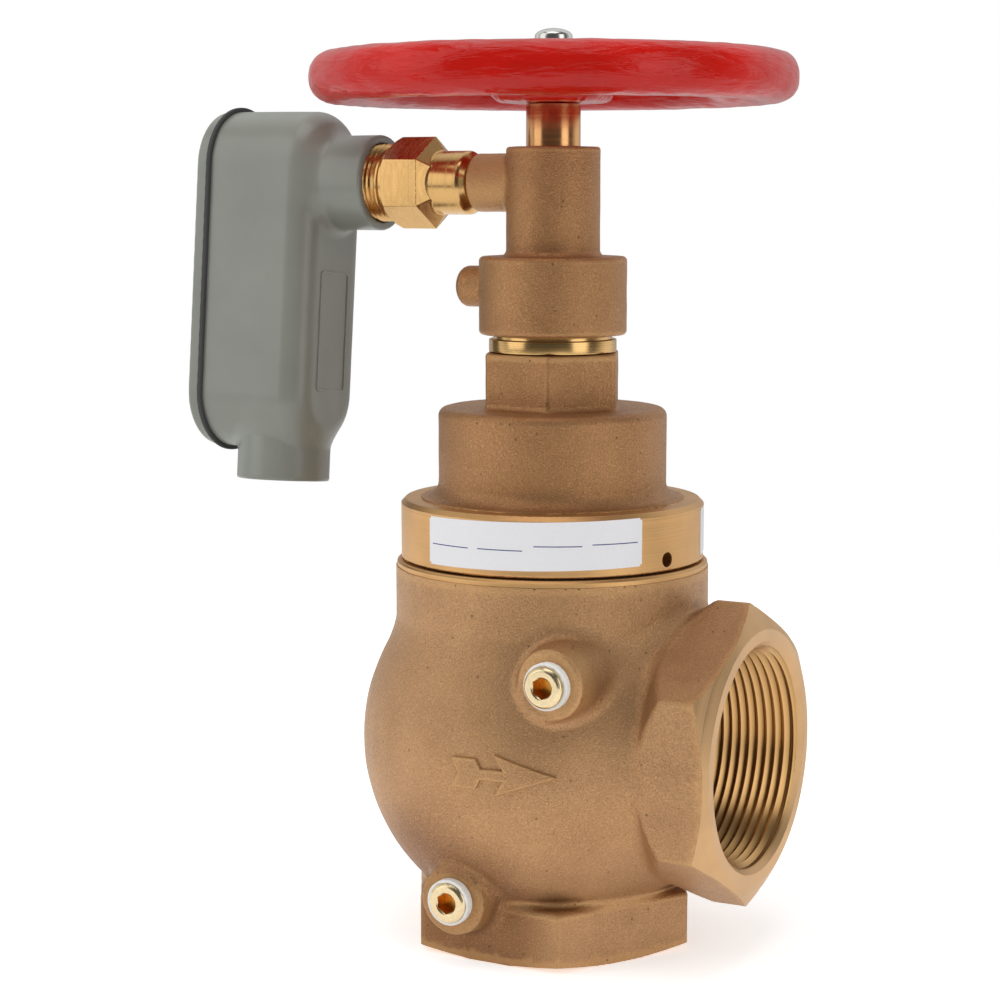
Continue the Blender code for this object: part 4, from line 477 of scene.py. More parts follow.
def rounded(first, second, radius):
    """Common part of two fields with a rounded edge where they meet."""
    return np.minimum(-radius, np.maximum(first, second)) + np.hypot(
        np.maximum(radius + first, 0), np.maximum(radius + second, 0))


def carved(solid, hollow, radius):
    """Solid less a hollow, with a rounded edge."""
    return rounded(solid, -hollow, radius)


def union(*fields):
    """Field of all the shapes together, with sharp corners between them."""
    return functools.reduce(np.minimum, fields)


def common(*fields):
    """Field of what the shapes have in common, with sharp edges."""
    return functools.reduce(np.maximum, fields)


def hexagon_field(across, along, flats, turn, radius):
    """Hexagon with rounded corners, the first of them at the angle turn."""
    field = None
    for side in range(3):
        angle = turn + math.radians(30 + 60 * side)
        wall = np.abs(across * math.cos(angle) + along * math.sin(angle)) - flats / 2
        field = wall if field is None else rounded(field, wall, radius)
    return field


def cone(radius, depth, at_radius, slope):
    """Field under a cone that is at_radius wide at depth 0 and grows by slope for each unit of depth."""
    return (radius - at_radius - slope * depth) / math.sqrt(1 + slope * slope)


def ripple(x, y, z, wavelength, seed):
    """Smooth random swell between about -1 and 1, from crossing waves of fixed directions."""
    random = np.random.default_rng(seed)
    total = 0.0
    count = 6
    for _ in range(count):
        direction = random.normal(size=3)
        direction *= math.tau / wavelength / np.linalg.norm(direction) * random.uniform(0.7, 1.4)
        total = total + np.sin(x * direction[0] + y * direction[1] + z * direction[2]
                               + random.uniform(0, math.tau))
    return total / count * 1.6


def cast_swell(casting, x, y, z):
    """How far a casting's skin stands in or out at a point."""
    height, wavelength, seed = SWELLS[casting]
    return height * ripple(x, y, z, wavelength, seed)


def bulb_field(u, y, z, inset=0.0):
    """The body's bulb, or its inside."""
    wide, tall = BULB_RADIUS - inset, BULB_HALF_HEIGHT - inset
    share = np.sqrt((u * u + y * y) / wide ** 2 + ((z - BULB_CENTRE) / tall) ** 2)
    slope = np.sqrt((u * u + y * y) / wide ** 4 + ((z - BULB_CENTRE) / tall ** 2) ** 2)
    return share * (share - 1) / np.maximum(slope, 1e-6)


def body_field(sizes):
    """Field of the body casting with its machined faces, bores and cavity."""
    corner = OUTLET_FLATS / 2 / math.cos(math.radians(30))
    hex_back = OUTLET_FACE - OUTLET_HEX_LENGTH
    back_slope = OUTLET_BACK_DROP / OUTLET_BACK_LENGTH
    lead_in = BORE_RADIUS + BORE_LEAD_IN
    fillet, boss_fillet = sizes.body_fillet, sizes.boss_fillet

    def field(x, y, z):
        u = x - AXIS_X
        radius = np.hypot(u, y)
        spread = np.hypot(y, z - OUTLET_Z)
        collar = common(radius - COLLAR_RADIUS, COLLAR_START - z,
                        cone(radius, BODY_TOP - z, COLLAR_RADIUS - COLLAR_EDGE, 1.0))
        skin = filleted(bulb_field(u, y, z), collar, COLLAR_FILLET)
        skin = filleted(skin, common(spread - NECK_RADIUS, NECK_START - u), fillet)
        mouth = hexagon_field(y, z - OUTLET_Z, OUTLET_FLATS, math.radians(90), CAST_EDGE)
        mouth = rounded(mouth, cone(spread, u - hex_back, corner, back_slope), MOUTH_BACK_ROUND)
        skin = filleted(skin, mouth, MOUTH_FILLET)
        inlet = rounded(hexagon_field(u, y, INLET_FLATS, 0.0, CAST_EDGE), z - INLET_HEX_TOP, INLET_ROUND)
        skin = filleted(skin, inlet, INLET_FILLET)
        plug_bores = []
        for _, across, height, reach, _ in PLUGS:
            spot = np.hypot(u - across, z - height)
            wall = cone(spot, y + reach, PLUG_BOSS_RADIUS, PLUG_BOSS_FLARE)
            boss = common(rounded(wall, -y - reach, PLUG_BOSS_ROUND), y + PLUG_BOSS_ROOT)
            skin = filleted(skin, boss, boss_fillet)
            plug_bores.append(common(spot - PLUG_RADIUS - PLUG_GAP, y + PLUG_BORE_END))
        land = union(z - BODY_TOP + COLLAR_BAND, radius - COLLAR_RADIUS + 4 * BAND_STEP)
        skin = common(skin + cast_swell("body", x, y, z),
                      cone(spread, OUTLET_FACE - u, OUTLET_FACE_RADIUS, OUTLET_CHAMFER_SLOPE),
                      u - OUTLET_FACE, cone(radius, z, INLET_FACE_RADIUS, INLET_CHAMFER_SLOPE),
                      -z, z - BODY_TOP + BAND_STEP, land)
        hollow = union(common(radius - BORE_RADIUS, z - BORE_DEPTH),
                       cone(radius, -z, lead_in, 1.0),
                       common(radius - SEAT_HOLE_RADIUS, z - WEB_TOP - BULB_WALL),
                       common(bulb_field(u, y, z, BULB_WALL), WEB_TOP - z, z - CAVITY_TOP),
                       common(radius - ROOF_HOLE_RADIUS, CAVITY_TOP - BULB_WALL - z),
                       common(radius - BONNET_THREAD_RADIUS, BONNET_FLOOR - z),
                       common(spread - BORE_RADIUS, OUTLET_BORE_START - u),
                       cone(spread, u - OUTLET_FACE, lead_in, 1.0), *plug_bores)
        return common(skin, -hollow)

    return field


def body_finish(centres):
    """Slot of each body face: 0 cast, 1 turned about Z, 2 turned about the outlet's axis."""
    u = centres[:, 0] - AXIS_X
    z = centres[:, 2]
    radius = np.hypot(u, centres[:, 1])
    spread = np.hypot(centres[:, 1], z - OUTLET_Z)
    slot = np.zeros(len(u), int)
    slot[(z > BODY_TOP - COLLAR_BAND) & (radius > ROOF_HOLE_RADIUS)] = 1
    slot[np.abs(cone(radius, z, INLET_FACE_RADIUS, INLET_CHAMFER_SLOPE)) < FACE_REACH] = 1
    slot[(z < BORE_DEPTH) & (radius < BORE_RADIUS + BORE_REACH)] = 1
    slot[z < FLAT_REACH] = 1
    slot[np.abs(cone(spread, OUTLET_FACE - u, OUTLET_FACE_RADIUS, OUTLET_CHAMFER_SLOPE)) < FACE_REACH] = 2
    slot[u > OUTLET_FACE - FLAT_REACH] = 2
    slot[(u > OUTLET_BORE_START) & (spread < BORE_RADIUS + BORE_LEAD_IN)] = 2
    return slot


def arrow_field(sizes):
    """Flow arrow: head, shaft and swallow-tail flight, lying on the bulb."""
    height = sizes.arrow_height

    def field(x, y, z):
        u = x - AXIS_X
        up = np.abs(z - ARROW_Z)
        head_base = ARROW_TIP - ARROW_HEAD_LENGTH
        head_slope = ARROW_HEAD_HALF / ARROW_HEAD_LENGTH
        barb = (head_base - u - ARROW_BARB_SLOPE * up) / math.hypot(1, ARROW_BARB_SLOPE)
        head = common((up - head_slope * (ARROW_TIP - u)) / math.hypot(1, head_slope), barb)
        shaft = common(up - ARROW_SHAFT_HALF, ARROW_TAIL + ARROW_SHAFT_TAIL - u,
                       u - head_base - ARROW_SHAFT_TIP)
        notch = ARROW_NOTCH_SLOPE * (ARROW_FLIGHT_HALF - up)
        slanting = (u - ARROW_TAIL - notch) / math.hypot(1, ARROW_NOTCH_SLOPE)
        flight = common(-slanting, slanting - ARROW_FLIGHT_LENGTH, up - ARROW_FLIGHT_HALF)
        outline = union(head, shaft, flight) - ARROW_SHRINK
        skin = bulb_field(u, y, z) - height + cast_swell("arrow", x, y, z)
        slab = rounded(outline, skin, ARROW_ROUND)
        return common(slab, -bulb_field(u, y, z) - ARROW_ROOT)

    return field


def bonnet_field(x, y, z):
    """Field of the bonnet: skirt, machined flange, cast dome and hexagonal neck."""
    u = x - AXIS_X
    radius = np.hypot(u, y)
    dome = rounded(radius - DOME_RADIUS, z - DOME_TOP, DOME_ROUND)
    neck = hexagon_field(u, y, NECK_HEX_FLATS, NECK_HEX_TURN, NECK_HEX_EDGE)
    neck = rounded(neck, z - NECK_HEX_TOP, NECK_HEX_EDGE)
    cast = filleted(dome, neck, NECK_HEX_FILLET)
    foot = common(radius - DOME_FOOT_RADIUS, z - FLANGE_TOP_Z)
    cast = filleted(cast, foot, DOME_FOOT_FILLET)
    cast = common(cast, FLANGE_LOW - z) + cast_swell("bonnet", x, y, z)
    flange_top = FLANGE_TOP_Z - FLANGE_STEP
    flange = common(radius - FLANGE_RADIUS, FLANGE_LOW - z, z - flange_top)
    flange = common(flange, cone(radius, flange_top - z, FLANGE_RADIUS - FLANGE_CHAMFER, 1.0))
    flange = common(flange, cone(radius, z - FLANGE_LOW, FLANGE_RADIUS - EDGE, 1.0))
    skirt = common(radius - SKIRT_RADIUS, SKIRT_LOW - z, z - flange_top)
    solid = union(cast, flange, skirt)
    hollow = common(radius - PISTON_BORE_RADIUS, z - PISTON_BORE_TOP)
    wide = common(radius - SKIRT_BORE_RADIUS, (radius - SKIRT_BORE_RADIUS + z - FLANGE_LOW) / math.sqrt(2))
    hollow = union(hollow, wide, radius - STEM_HOLE_RADIUS)
    for turn in (0.0, math.pi):
        angle = SPANNER_HOLE_ANGLE + turn
        along = u * math.cos(angle) + y * math.sin(angle)
        aside = y * math.cos(angle) - u * math.sin(angle)
        hole = common(np.hypot(aside, z - SPANNER_HOLE_Z) - SPANNER_HOLE_RADIUS,
                      FLANGE_RADIUS - SPANNER_HOLE_DEPTH - along)
        hollow = union(hollow, hole)
    return common(solid, -hollow)


def bonnet_finish(centres):
    """Slot of each bonnet face: 0 cast, 1 turned."""
    radius = np.hypot(centres[:, 0] - AXIS_X, centres[:, 1])
    z = centres[:, 2]
    turned = (radius > DOME_FOOT_RADIUS + FACE_REACH) & (z < FLANGE_TOP_Z)
    turned |= z < FLANGE_LOW + FACE_REACH
    turned |= radius < PISTON_BORE_RADIUS + FACE_REACH
    turned |= (radius < SKIRT_BORE_RADIUS + FACE_REACH) & (z < FLANGE_LOW + SKIRT_STEP)
    turned &= z < DOME_TOP - 1 * MM
    return turned.astype(int)


def housing_field(x, y, z):
    """Field of the switch housing: collar, tube, side branch and domed boss."""
    u = x - AXIS_X
    out = -u
    radius = np.hypot(u, y)
    collar = rounded(radius - HOUSING_COLLAR_RADIUS, z - HOUSING_COLLAR_TOP, HOUSING_ROUND)
    collar = rounded(collar, HOUSING_LOW - z, HOUSING_ROUND)
    tube = rounded(radius - HOUSING_TUBE_RADIUS, z - HOUSING_TOP, HOUSING_TOP_ROUND)
    solid = filleted(collar, common(tube, HOUSING_COLLAR_TOP - HOUSING_TUBE_ROOT - z), HOUSING_FILLET)
    branch = rounded(np.hypot(y, z - BRANCH_Z) - BRANCH_RADIUS, out - BRANCH_REACH, BRANCH_ROUND)
    solid = filleted(solid, common(branch, -out), BRANCH_FILLET)
    boss = rounded(np.hypot(y, z - BOSS_Z) - BOSS_RADIUS, out - BOSS_REACH, BOSS_ROUND)
    solid = filleted(solid, common(boss, -out), BOSS_FILLET)
    solid = solid + cast_swell("housing", x, y, z)
    hollow = union(radius - HOUSING_BORE_RADIUS,
                   common(radius - HOUSING_SPIGOT_RADIUS, z - HOUSING_LOW - HOUSING_SPIGOT_DEPTH),
                   common(np.hypot(y, z - BRANCH_Z) - BRANCH_BORE_RADIUS, -out))
    return carved(solid, hollow, EDGE)


def adaptor_field(x, y, z):
    """Field of the brass adaptor: spigot, nose, coned hexagon and threaded end."""
    out = AXIS_X - x
    radius = np.hypot(y, z - BRANCH_Z)
    nose = common(radius - NOSE_RADIUS, NOSE_START - out, out - HEX_START)
    nose = rounded(nose, cone(radius, out - NOSE_START, NOSE_RADIUS - NOSE_CHAMFER, 1.0), EDGE)
    corner = ADAPTOR_FLATS / 2 / math.cos(math.radians(30))
    nut = hexagon_field(y, z - BRANCH_Z, ADAPTOR_FLATS, math.radians(90), ADAPTOR_EDGE)
    slope = ADAPTOR_CHAMFER / (HEX_START - CONE_START)
    narrow = 2 * np.maximum(HEX_START - out, 0) * slope
    bevel = hexagon_field(y, z - BRANCH_Z, ADAPTOR_FLATS - narrow, math.radians(90), ADAPTOR_EDGE)
    nut = common(nut, bevel / math.hypot(1, slope))
    nut = rounded(nut, cone(radius, HEX_END - out, corner - ADAPTOR_END_CHAMFER, 1.0), ADAPTOR_EDGE)
    nut = common(nut, CONE_START - out, out - HEX_END)
    solid = filleted(nose, nut, ADAPTOR_FILLET)
    core = common(radius - ADAPTOR_CORE_RADIUS, HEX_START - out, out - ADAPTOR_END)
    spigot = common(radius - ADAPTOR_SPIGOT_RADIUS, ADAPTOR_TAIL - out, out - HEX_START)
    solid = union(solid, core, spigot)
    hollow = union(radius - ADAPTOR_BORE_RADIUS,
                   common(radius - ADAPTOR_SPRING_BORE, ADAPTOR_BORE_FLOOR - out))
    return common(solid, -hollow)


def leaning(x, y, z):
    """Distance out, height above the hub's axis and distance across of a point by the conduit body."""
    out = AXIS_X - x
    rise = y * math.sin(LEAN) + (z - BRANCH_Z) * math.cos(LEAN)
    across = y * math.cos(LEAN) - (z - BRANCH_Z) * math.sin(LEAN)
    return out, rise, across


def stadium_field(rise, across, half_width):
    """Field of the conduit body's long outline."""
    centre = SHELL_TOP - SHELL_LENGTH / 2
    flat = SHELL_LENGTH / 2 - SHELL_HALF_WIDTH
    return np.hypot(np.maximum(np.abs(rise - centre) - flat, 0), across) - half_width


def shell_field(x, y, z):
    """Field of the conduit body with its side hub, end hub and open back."""
    out, rise, across = leaning(x, y, z)
    width = SHELL_HALF_WIDTH - SHELL_DRAFT * (SHELL_BACK - out) / (SHELL_BACK - SHELL_FRONT)
    solid = rounded(stadium_field(rise, across, width), SHELL_FRONT - out, SHELL_ROUND)
    around = np.hypot(rise, across)
    hub = rounded(around - HUB_RADIUS, HUB_START - out, HUB_ROUND)
    solid = filleted(solid, common(hub, out - SHELL_FRONT - SHELL_ROUND), HUB_FILLET)
    round_end = np.hypot(out - END_HUB_OUT, across)
    spout = rounded(round_end - HUB_RADIUS, -END_HUB_DROP - rise, HUB_ROUND)
    solid = filleted(solid, common(spout, rise + END_HUB_ROOT), END_HUB_FILLET)
    solid = common(solid, out - SHELL_BACK) + cast_swell("shell", x, y, z)
    hollow = rounded(stadium_field(rise, across, width - SHELL_WALL), SHELL_FRONT + SHELL_WALL - out,
                     SHELL_ROUND - SHELL_WALL)
    shelf = SHELL_LENGTH - SHELL_TOP
    hollow = union(hollow, common(around - HUB_BORE_RADIUS, out - ADAPTOR_END - CLEARANCE),
                   common(around - HUB_THROAT_RADIUS, out - SHELL_FRONT - SHELL_ROUND),
                   common(round_end - HUB_BORE_RADIUS, rise + shelf - END_HUB_BORE_INSET),
                   common(round_end - HUB_THROAT_RADIUS, rise + shelf - END_HUB_THROAT_INSET))
    return carved(solid, hollow, EDGE)


def rib_field(sizes):
    """Plain raised frame on the conduit body's front face."""
    height = sizes.rib_height

    def field(x, y, z):
        out, rise, across = leaning(x, y, z)
        middle_rise = (FRAME_TOP + FRAME_BOTTOM) / 2
        box = rounded(np.abs(rise - middle_rise) - (FRAME_TOP - FRAME_BOTTOM) / 2,
                      np.abs(across) - FRAME_HALF_WIDTH, FRAME_ROUND)
        line = np.abs(box) - FRAME_LINE_HALF
        return common(rounded(line, SHELL_FRONT - height - out, FRAME_EDGE), out - SHELL_FRONT - FRAME_ROOT)

    return field


def cover_screw_rises():
    """Heights of the two cover screws above the hub's axis."""
    centre = SHELL_TOP - SHELL_LENGTH / 2
    reach = SHELL_LENGTH / 2 - COVER_SCREW_INSET
    return centre + reach, centre - reach


def cover_field(x, y, z):
    """Field of the cover: a plate with a rounded edge and two sunk screw seats."""
    out, rise, across = leaning(x, y, z)
    edge = stadium_field(rise, across, COVER_HALF_WIDTH)
    solid = rounded(common(edge, COVER_START - out), out - COVER_END, COVER_ROUND)
    for height in cover_screw_rises():
        seat = common(np.hypot(rise - height, across) - COVER_SCREW_RADIUS - CLEARANCE,
                      COVER_END - COVER_SCREW_SINK - CLEARANCE - out)
        solid = carved(solid, seat, COVER_SEAT_ROUND)
    return solid


def gasket_field(x, y, z):
    """Field of the rubber gasket, squeezed a little past the cast edge."""
    out, rise, across = leaning(x, y, z)
    middle_line = SHELL_HALF_WIDTH + GASKET_OVERHANG - GASKET_HALF_WIDTH
    edge = np.abs(stadium_field(rise, across, middle_line)) - GASKET_HALF_WIDTH
    thick = common(GASKET_START - out, out - GASKET_END)
    return rounded(edge, thick, EDGE)


def wheel_field(sizes):
    """Field of the handwheel: rim, spokes and hub under thick enamel."""
    wave = sizes.paint_wave

    def field(x, y, z):
        u = x - AXIS_X
        radius = np.hypot(u, y)
        up = z - RIM_Z
        section = ((np.abs(radius - RIM_RADIUS) / RIM_HALF_WIDTH) ** RIM_POWER
                   + (np.abs(up) / RIM_HALF_HEIGHT) ** RIM_POWER) ** (1 / RIM_POWER)
        wheel = (section - 1) * RIM_HALF_HEIGHT
        hub = rounded(radius - WHEEL_HUB_RADIUS, WHEEL_HUB_LOW - z, WHEEL_HUB_ROUND)
        hub = rounded(hub, z - WHEEL_HUB_HIGH, WHEEL_HUB_ROUND)
        arms = None
        for spoke in range(SPOKES):
            angle = SPOKE_TURN + math.tau * spoke / SPOKES
            along = u * math.cos(angle) + y * math.sin(angle)
            aside = y * math.cos(angle) - u * math.sin(angle)
            bar = (np.sqrt((aside / SPOKE_HALF_WIDTH) ** 2 + (up / SPOKE_HALF_HEIGHT) ** 2) - 1) \
                * SPOKE_HALF_HEIGHT
            bar = common(bar, -along, along - RIM_RADIUS)
            arms = bar if arms is None else union(arms, bar)
        wheel = filleted(wheel, arms, SPOKE_FILLET)
        wheel = filleted(wheel, hub, WHEEL_HUB_FILLET)
        turn = np.arctan2(y, u) * RIM_RADIUS
        roll = np.arctan2(up, radius - RIM_RADIUS) * RIM_HALF_HEIGHT
        runs = ripple(turn * 0.45, roll + turn * 0.12, up * 0.2, 4.2 * MM, 31) * 0.6 \
            + ripple(x, y, z, 12 * MM, 33) * 0.8
        wheel = wheel + wave * runs
        socket = common(np.abs(u), np.abs(y)) - STEM_SQUARE_RADIUS - CLEARANCE
        return carved(wheel, socket, WHEEL_SOCKET_ROUND)

    return field


def plug_field(across, height, face):
    """Field of a gauge plug: chamfered cylinder with a hexagon socket."""
    def field(x, y, z):
        u = x - AXIS_X - across
        up = z - height
        depth = face + y
        radius = np.hypot(u, up)
        solid = common(radius - PLUG_RADIUS, -depth, depth - PLUG_LENGTH)
        solid = rounded(solid, cone(radius, depth, PLUG_RADIUS - PLUG_CHAMFER, 1.0), PLUG_ROUND)
        socket = common(hexagon_field(u, up, PLUG_SOCKET_FLATS, math.radians(30), PLUG_SOCKET_EDGE),
                        depth - PLUG_SOCKET_DEPTH)
        lead_in = cone(radius, -depth, PLUG_SOCKET_FLATS / 2 + PLUG_SOCKET_LEAD_IN, 1.0)
        return carved(solid, union(socket, lead_in), PLUG_SOCKET_EDGE)

    return field


def plug_finish(across, height, face):
    """Slots of a plug's faces: 0 outside, 1 down in the socket."""
    def finish(centres):
        from_axis = np.hypot(centres[:, 0] - AXIS_X - across, centres[:, 2] - height)
        near = from_axis < PLUG_SOCKET_FLATS / 2 + 0.6 * MM
        deep = centres[:, 1] > 0.8 * MM - face
        return (near & deep).astype(int)

    return finish


# Meshes from fields
def gradient(field, points, step=0.02 * MM):
    """Unit direction in which a field grows at each point."""
    total = np.zeros_like(points)
    for corner in ((1, -1, -1), (-1, -1, 1), (-1, 1, -1), (1, 1, 1)):
        shift = np.array(corner, float)
        moved = points + shift * step
        total += field(moved[:, 0], moved[:, 1], moved[:, 2])[:, None] * shift
    return total / np.maximum(np.linalg.norm(total, axis=1, keepdims=True), 1e-12)


def crossings(field, values, low, cell, axis):
    """Where the field changes sign along one grid axis: lower grid points, places and whether it leaves."""
    lower = [slice(None)] * 3
    upper = [slice(None)] * 3
    lower[axis] = slice(0, -1)
    upper[axis] = slice(1, None)
    before, after = values[tuple(lower)], values[tuple(upper)]
    grid = np.argwhere((before < 0) != (after < 0))
    near_value, far_value = before[tuple(grid.T)], after[tuple(grid.T)]
    leaves = near_value < 0
    near, far = np.zeros(len(grid)), np.ones(len(grid))
    start = low + cell * grid
    for _ in range(4):
        share = near + (far - near) * near_value / (near_value - far_value)
        places = start.copy()
        places[:, axis] += share * cell
        found = field(places[:, 0], places[:, 1], places[:, 2])
        same = (found < 0) == leaves
        near, far = np.where(same, share, near), np.where(same, far, share)
        near_value = np.where(same, found, near_value)
        far_value = np.where(same, far_value, found)
    return grid, places, leaves


def contour(field, low, high, cell):
    """Quads of the surface where a field is zero, with a corner placed on every crease."""
    low = np.array(low, float)
    counts = np.ceil((np.array(high, float) - low) / cell).astype(int) + 1
    axes = [low[axis] + cell * np.arange(counts[axis]) for axis in range(3)]
    values = np.broadcast_to(field(*np.meshgrid(*axes, indexing="ij", sparse=True)), counts)
    ids, places, normals, quads = [], [], [], []
    for axis in range(3):
        grid, found, leaves = crossings(field, values, low, cell, axis)
        facing = gradient(field, found)
        second, third = (axis + 1) % 3, (axis + 2) % 3
        ring = []
        for across, along in ((-1, -1), (0, -1), (0, 0), (-1, 0)):
            near = grid.copy()
            near[:, second] += across
            near[:, third] += along
            ring.append(np.ravel_multi_index(near.T, counts))
        ids.extend(ring)
        places.extend([found] * 4)
        normals.extend([facing] * 4)
        quad = np.stack(ring, 1)
        quads.append(np.where(leaves[:, None], quad, quad[:, ::-1]))
    ids, places, normals = np.concatenate(ids), np.concatenate(places), np.concatenate(normals)
    cells, owner = np.unique(ids, return_inverse=True)
    count = np.bincount(owner).astype(float)
    mass = np.stack([np.bincount(owner, places[:, a]) / count for a in range(3)], 1)
    reach = np.einsum("ij,ij->i", normals, places - mass[owner])
    square = np.empty((len(cells), 3, 3))
    for a in range(3):
        for b in range(3):
            square[:, a, b] = np.bincount(owner, normals[:, a] * normals[:, b])
    square += np.eye(3) * (0.03 * count)[:, None, None]
    push = np.stack([np.bincount(owner, normals[:, a] * reach) for a in range(3)], 1)
    points = mass + np.linalg.solve(square, push[:, :, None])[:, :, 0]
    corner = low + cell * np.stack(np.unravel_index(cells, counts), 1)
    points = np.clip(points, corner, corner + cell)
    return points, np.searchsorted(cells, np.concatenate(quads))


def place_mesh(name, mesh, body, slot, *nodes):
    """Object of a finished mesh, riding on a body unless that is None, and standing for CAD nodes."""
    piece = bpy.data.objects.new(name, mesh)
    bpy.context.scene.collection.objects.link(piece)
    if body is not None:
        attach(piece, body)
    if nodes:
        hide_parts(*nodes)
    return piece


def thinned(mesh, share):
    """Plain mesh with that share of its triangles, most of them where it bends."""
    carrier = bpy.data.objects.new("carrier", mesh)
    bpy.context.scene.collection.objects.link(carrier)
    carrier.modifiers.new("thin", "DECIMATE").ratio = share
    evaluated = carrier.evaluated_get(bpy.context.evaluated_depsgraph_get())
    result = bpy.data.meshes.new_from_object(evaluated)
    bpy.data.objects.remove(carrier)
    bpy.data.meshes.remove(mesh)
    return result


def read_vectors(collection, name, width=3):
    """Attribute of a mesh collection as an array with one row for each item."""
    values = np.zeros(len(collection) * width,
                      np.float32 if name in ("co", "center", "normal") else np.int32)
    collection.foreach_get(name, values)
    return values.reshape(-1, width).astype(float) if width > 1 else values


def cast_piece(name, field, box, cell, share, body, slot, nodes, finishes, finish_of=None, depth=3 * MM):
    """Closed skin of a field as a piece: exact normals, finishes by face, and how deep in a hollow and how
    near an edge each point lies, from which the bronze paints shade and lightens edges.
    """
    low, high = ([value - 2 * cell for value in box[0]], [value + 2 * cell for value in box[1]])
    points, quads = contour(field, low, high, cell)
    points = np.clip(points, *CAD_BOX)
    mesh = bpy.data.meshes.new(name)
    mesh.from_pydata(points.tolist(), [], quads.tolist())
    mesh = thinned(mesh, share)
    mesh.name = name
    for finish in finishes:
        mesh.materials.append(finish)
    mesh.shade_smooth()
    vertices = read_vectors(mesh.vertices, "co")
    centres = read_vectors(mesh.polygons, "center")
    corner_vertex = read_vectors(mesh.loops, "vertex_index", 1)
    corner_face = np.repeat(np.arange(len(centres)), read_vectors(mesh.polygons, "loop_total", 1))
    samples = vertices[corner_vertex] * 0.7 + centres[corner_face] * 0.3
    facing = gradient(field, samples)
    if finish_of is not None:
        mesh.polygons.foreach_set("material_index", finish_of(centres).astype(np.int32))
    outwards = gradient(field, vertices)
    ahead = vertices + outwards * depth
    behind = vertices - outwards * depth
    # Painted shade: how deep in a hollow each point lies, which the bronze darkens
    recess = 1 - np.clip(field(*ahead.T) / depth, 0, 1)
    # How near an edge each point lies, which the bronze lightens as wear and as a painted highlight
    ridge = 1 - np.clip(-field(*behind.T) / depth, 0, 1)
    for label, values in (("recess", recess), ("ridge", ridge)):
        attribute = mesh.attributes.new(label, "FLOAT", "POINT")
        attribute.data.foreach_set("value", values.astype(np.float32))
    mesh.normals_split_custom_set(facing.tolist())
    return place_mesh(name, mesh, body, slot, *nodes)


def node_box(node, margin=0.0):
    """Corners of a CAD node's box, grown by a margin."""
    low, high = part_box(node)
    return [value - margin for value in low], [value + margin for value in high]


# Lathe
def lathe(name, outline, sides, to_world, finish):
    """Closed mesh of a (radius, height) outline turned about its own Z axis, then put in its place."""
    bm = bmesh.new()
    rings = []
    for radius, height in outline:
        if radius < 1e-9:
            rings.append([bm.verts.new((0, 0, height))])
            continue
        rings.append([bm.verts.new((radius * math.cos(math.tau * k / sides),
                                    radius * math.sin(math.tau * k / sides),
                                    height)) for k in range(sides)])
    closed = outline[0][0] > 0 or outline[-1][0] > 0
    pairs = list(zip(rings, rings[1:] + rings[:1])) if closed else list(zip(rings, rings[1:]))
    for lower, upper in pairs:
        for k in range(sides):
            after = (k + 1) % sides
            corners = [lower[k % len(lower)], lower[after % len(lower)],
                       upper[after % len(upper)], upper[k % len(upper)]]
            unique = list(dict.fromkeys(corners))
            if len(unique) > 2:
                bm.faces.new(unique)
    bm.transform(to_world)
    bmesh.ops.recalc_face_normals(bm, faces=bm.faces)
    mesh = bpy.data.meshes.new(name)
    bm.to_mesh(mesh)
    bm.free()
    mesh.materials.append(finish)
    mesh.shade_smooth()
    mesh.set_sharp_from_angle(angle=math.radians(28))
    return mesh


def eased(points, radius, steps=4):
    """Outline whose corners are rounded, but for its first and last."""
    result = [points[0]]
    for before, here, after in zip(points, points[1:], points[2:]):
        here, before, after = Vector(here), Vector(before), Vector(after)
        start = here + (before - here).normalized() * min(radius, (before - here).length * 0.45)
        end = here + (after - here).normalized() * min(radius, (after - here).length * 0.45)
        for step in range(steps + 1):
            t = step / steps
            point = start * (1 - t) ** 2 + here * (2 * t * (1 - t)) + end * t ** 2
            result.append((point.x, point.y))
    result.append(points[-1])
    return result


# Materials
def fill(tree, node, inputs):
    """Fills a node's inputs with values or with other nodes' outputs."""
    for key, value in inputs.items():
        if isinstance(value, bpy.types.NodeSocket):
            tree.links.new(value, node.inputs[key])
        else:
            node.inputs[key].default_value = value


def add_node(tree, kind, inputs=None, **settings):
    """Adds a node with its settings and fills its inputs."""
    node = tree.nodes.new(kind)
    for name, value in settings.items():
        setattr(node, name, value)
    fill(tree, node, inputs or {})
    return node


def remap(tree, value, low, high, to_low=0.0, to_high=1.0, smooth=False):
    """Output that runs from to_low to to_high as a value runs from low to high."""
    return add_node(tree, "ShaderNodeMapRange", {"Value": value, "From Min": low, "From Max": high,
                                                 "To Min": to_low, "To Max": to_high},
                    interpolation_type="SMOOTHSTEP" if smooth else "LINEAR").outputs["Result"]


def calculate(tree, operation, *values, clamp=False):
    """Result of an operation on numbers."""
    return add_node(tree, "ShaderNodeMath", dict(enumerate(values)), operation=operation,
                    use_clamp=clamp).outputs[0]


def noise(tree, place, size, detail, **others):
    """Soft noise from 0 to 1 whose lumps have a real size."""
    return add_node(tree, "ShaderNodeTexNoise", {"Vector": place, "Scale": 1 / size, "Detail": detail,
                                                 **others}).outputs["Fac"]


def scaled(tree, colour, tone):
    """Colour made darker or brighter by a tone round 1."""
    return add_node(tree, "ShaderNodeVectorMath", {0: colour, "Scale": tone}, operation="SCALE").outputs[0]


def between(tree, share, first, second):
    """Colour that goes from the first to the second as share goes from 0 to 1."""
    return add_node(tree, "ShaderNodeMix", {"Factor": share, 6: first, 7: second},
                    data_type="RGBA").outputs[2]


def bumped(tree, height, strength, depth):
    """Normal bent by a height of a real depth."""
    return add_node(tree, "ShaderNodeBump", {"Height": height, "Strength": strength,
                                             "Distance": depth}).outputs["Normal"]


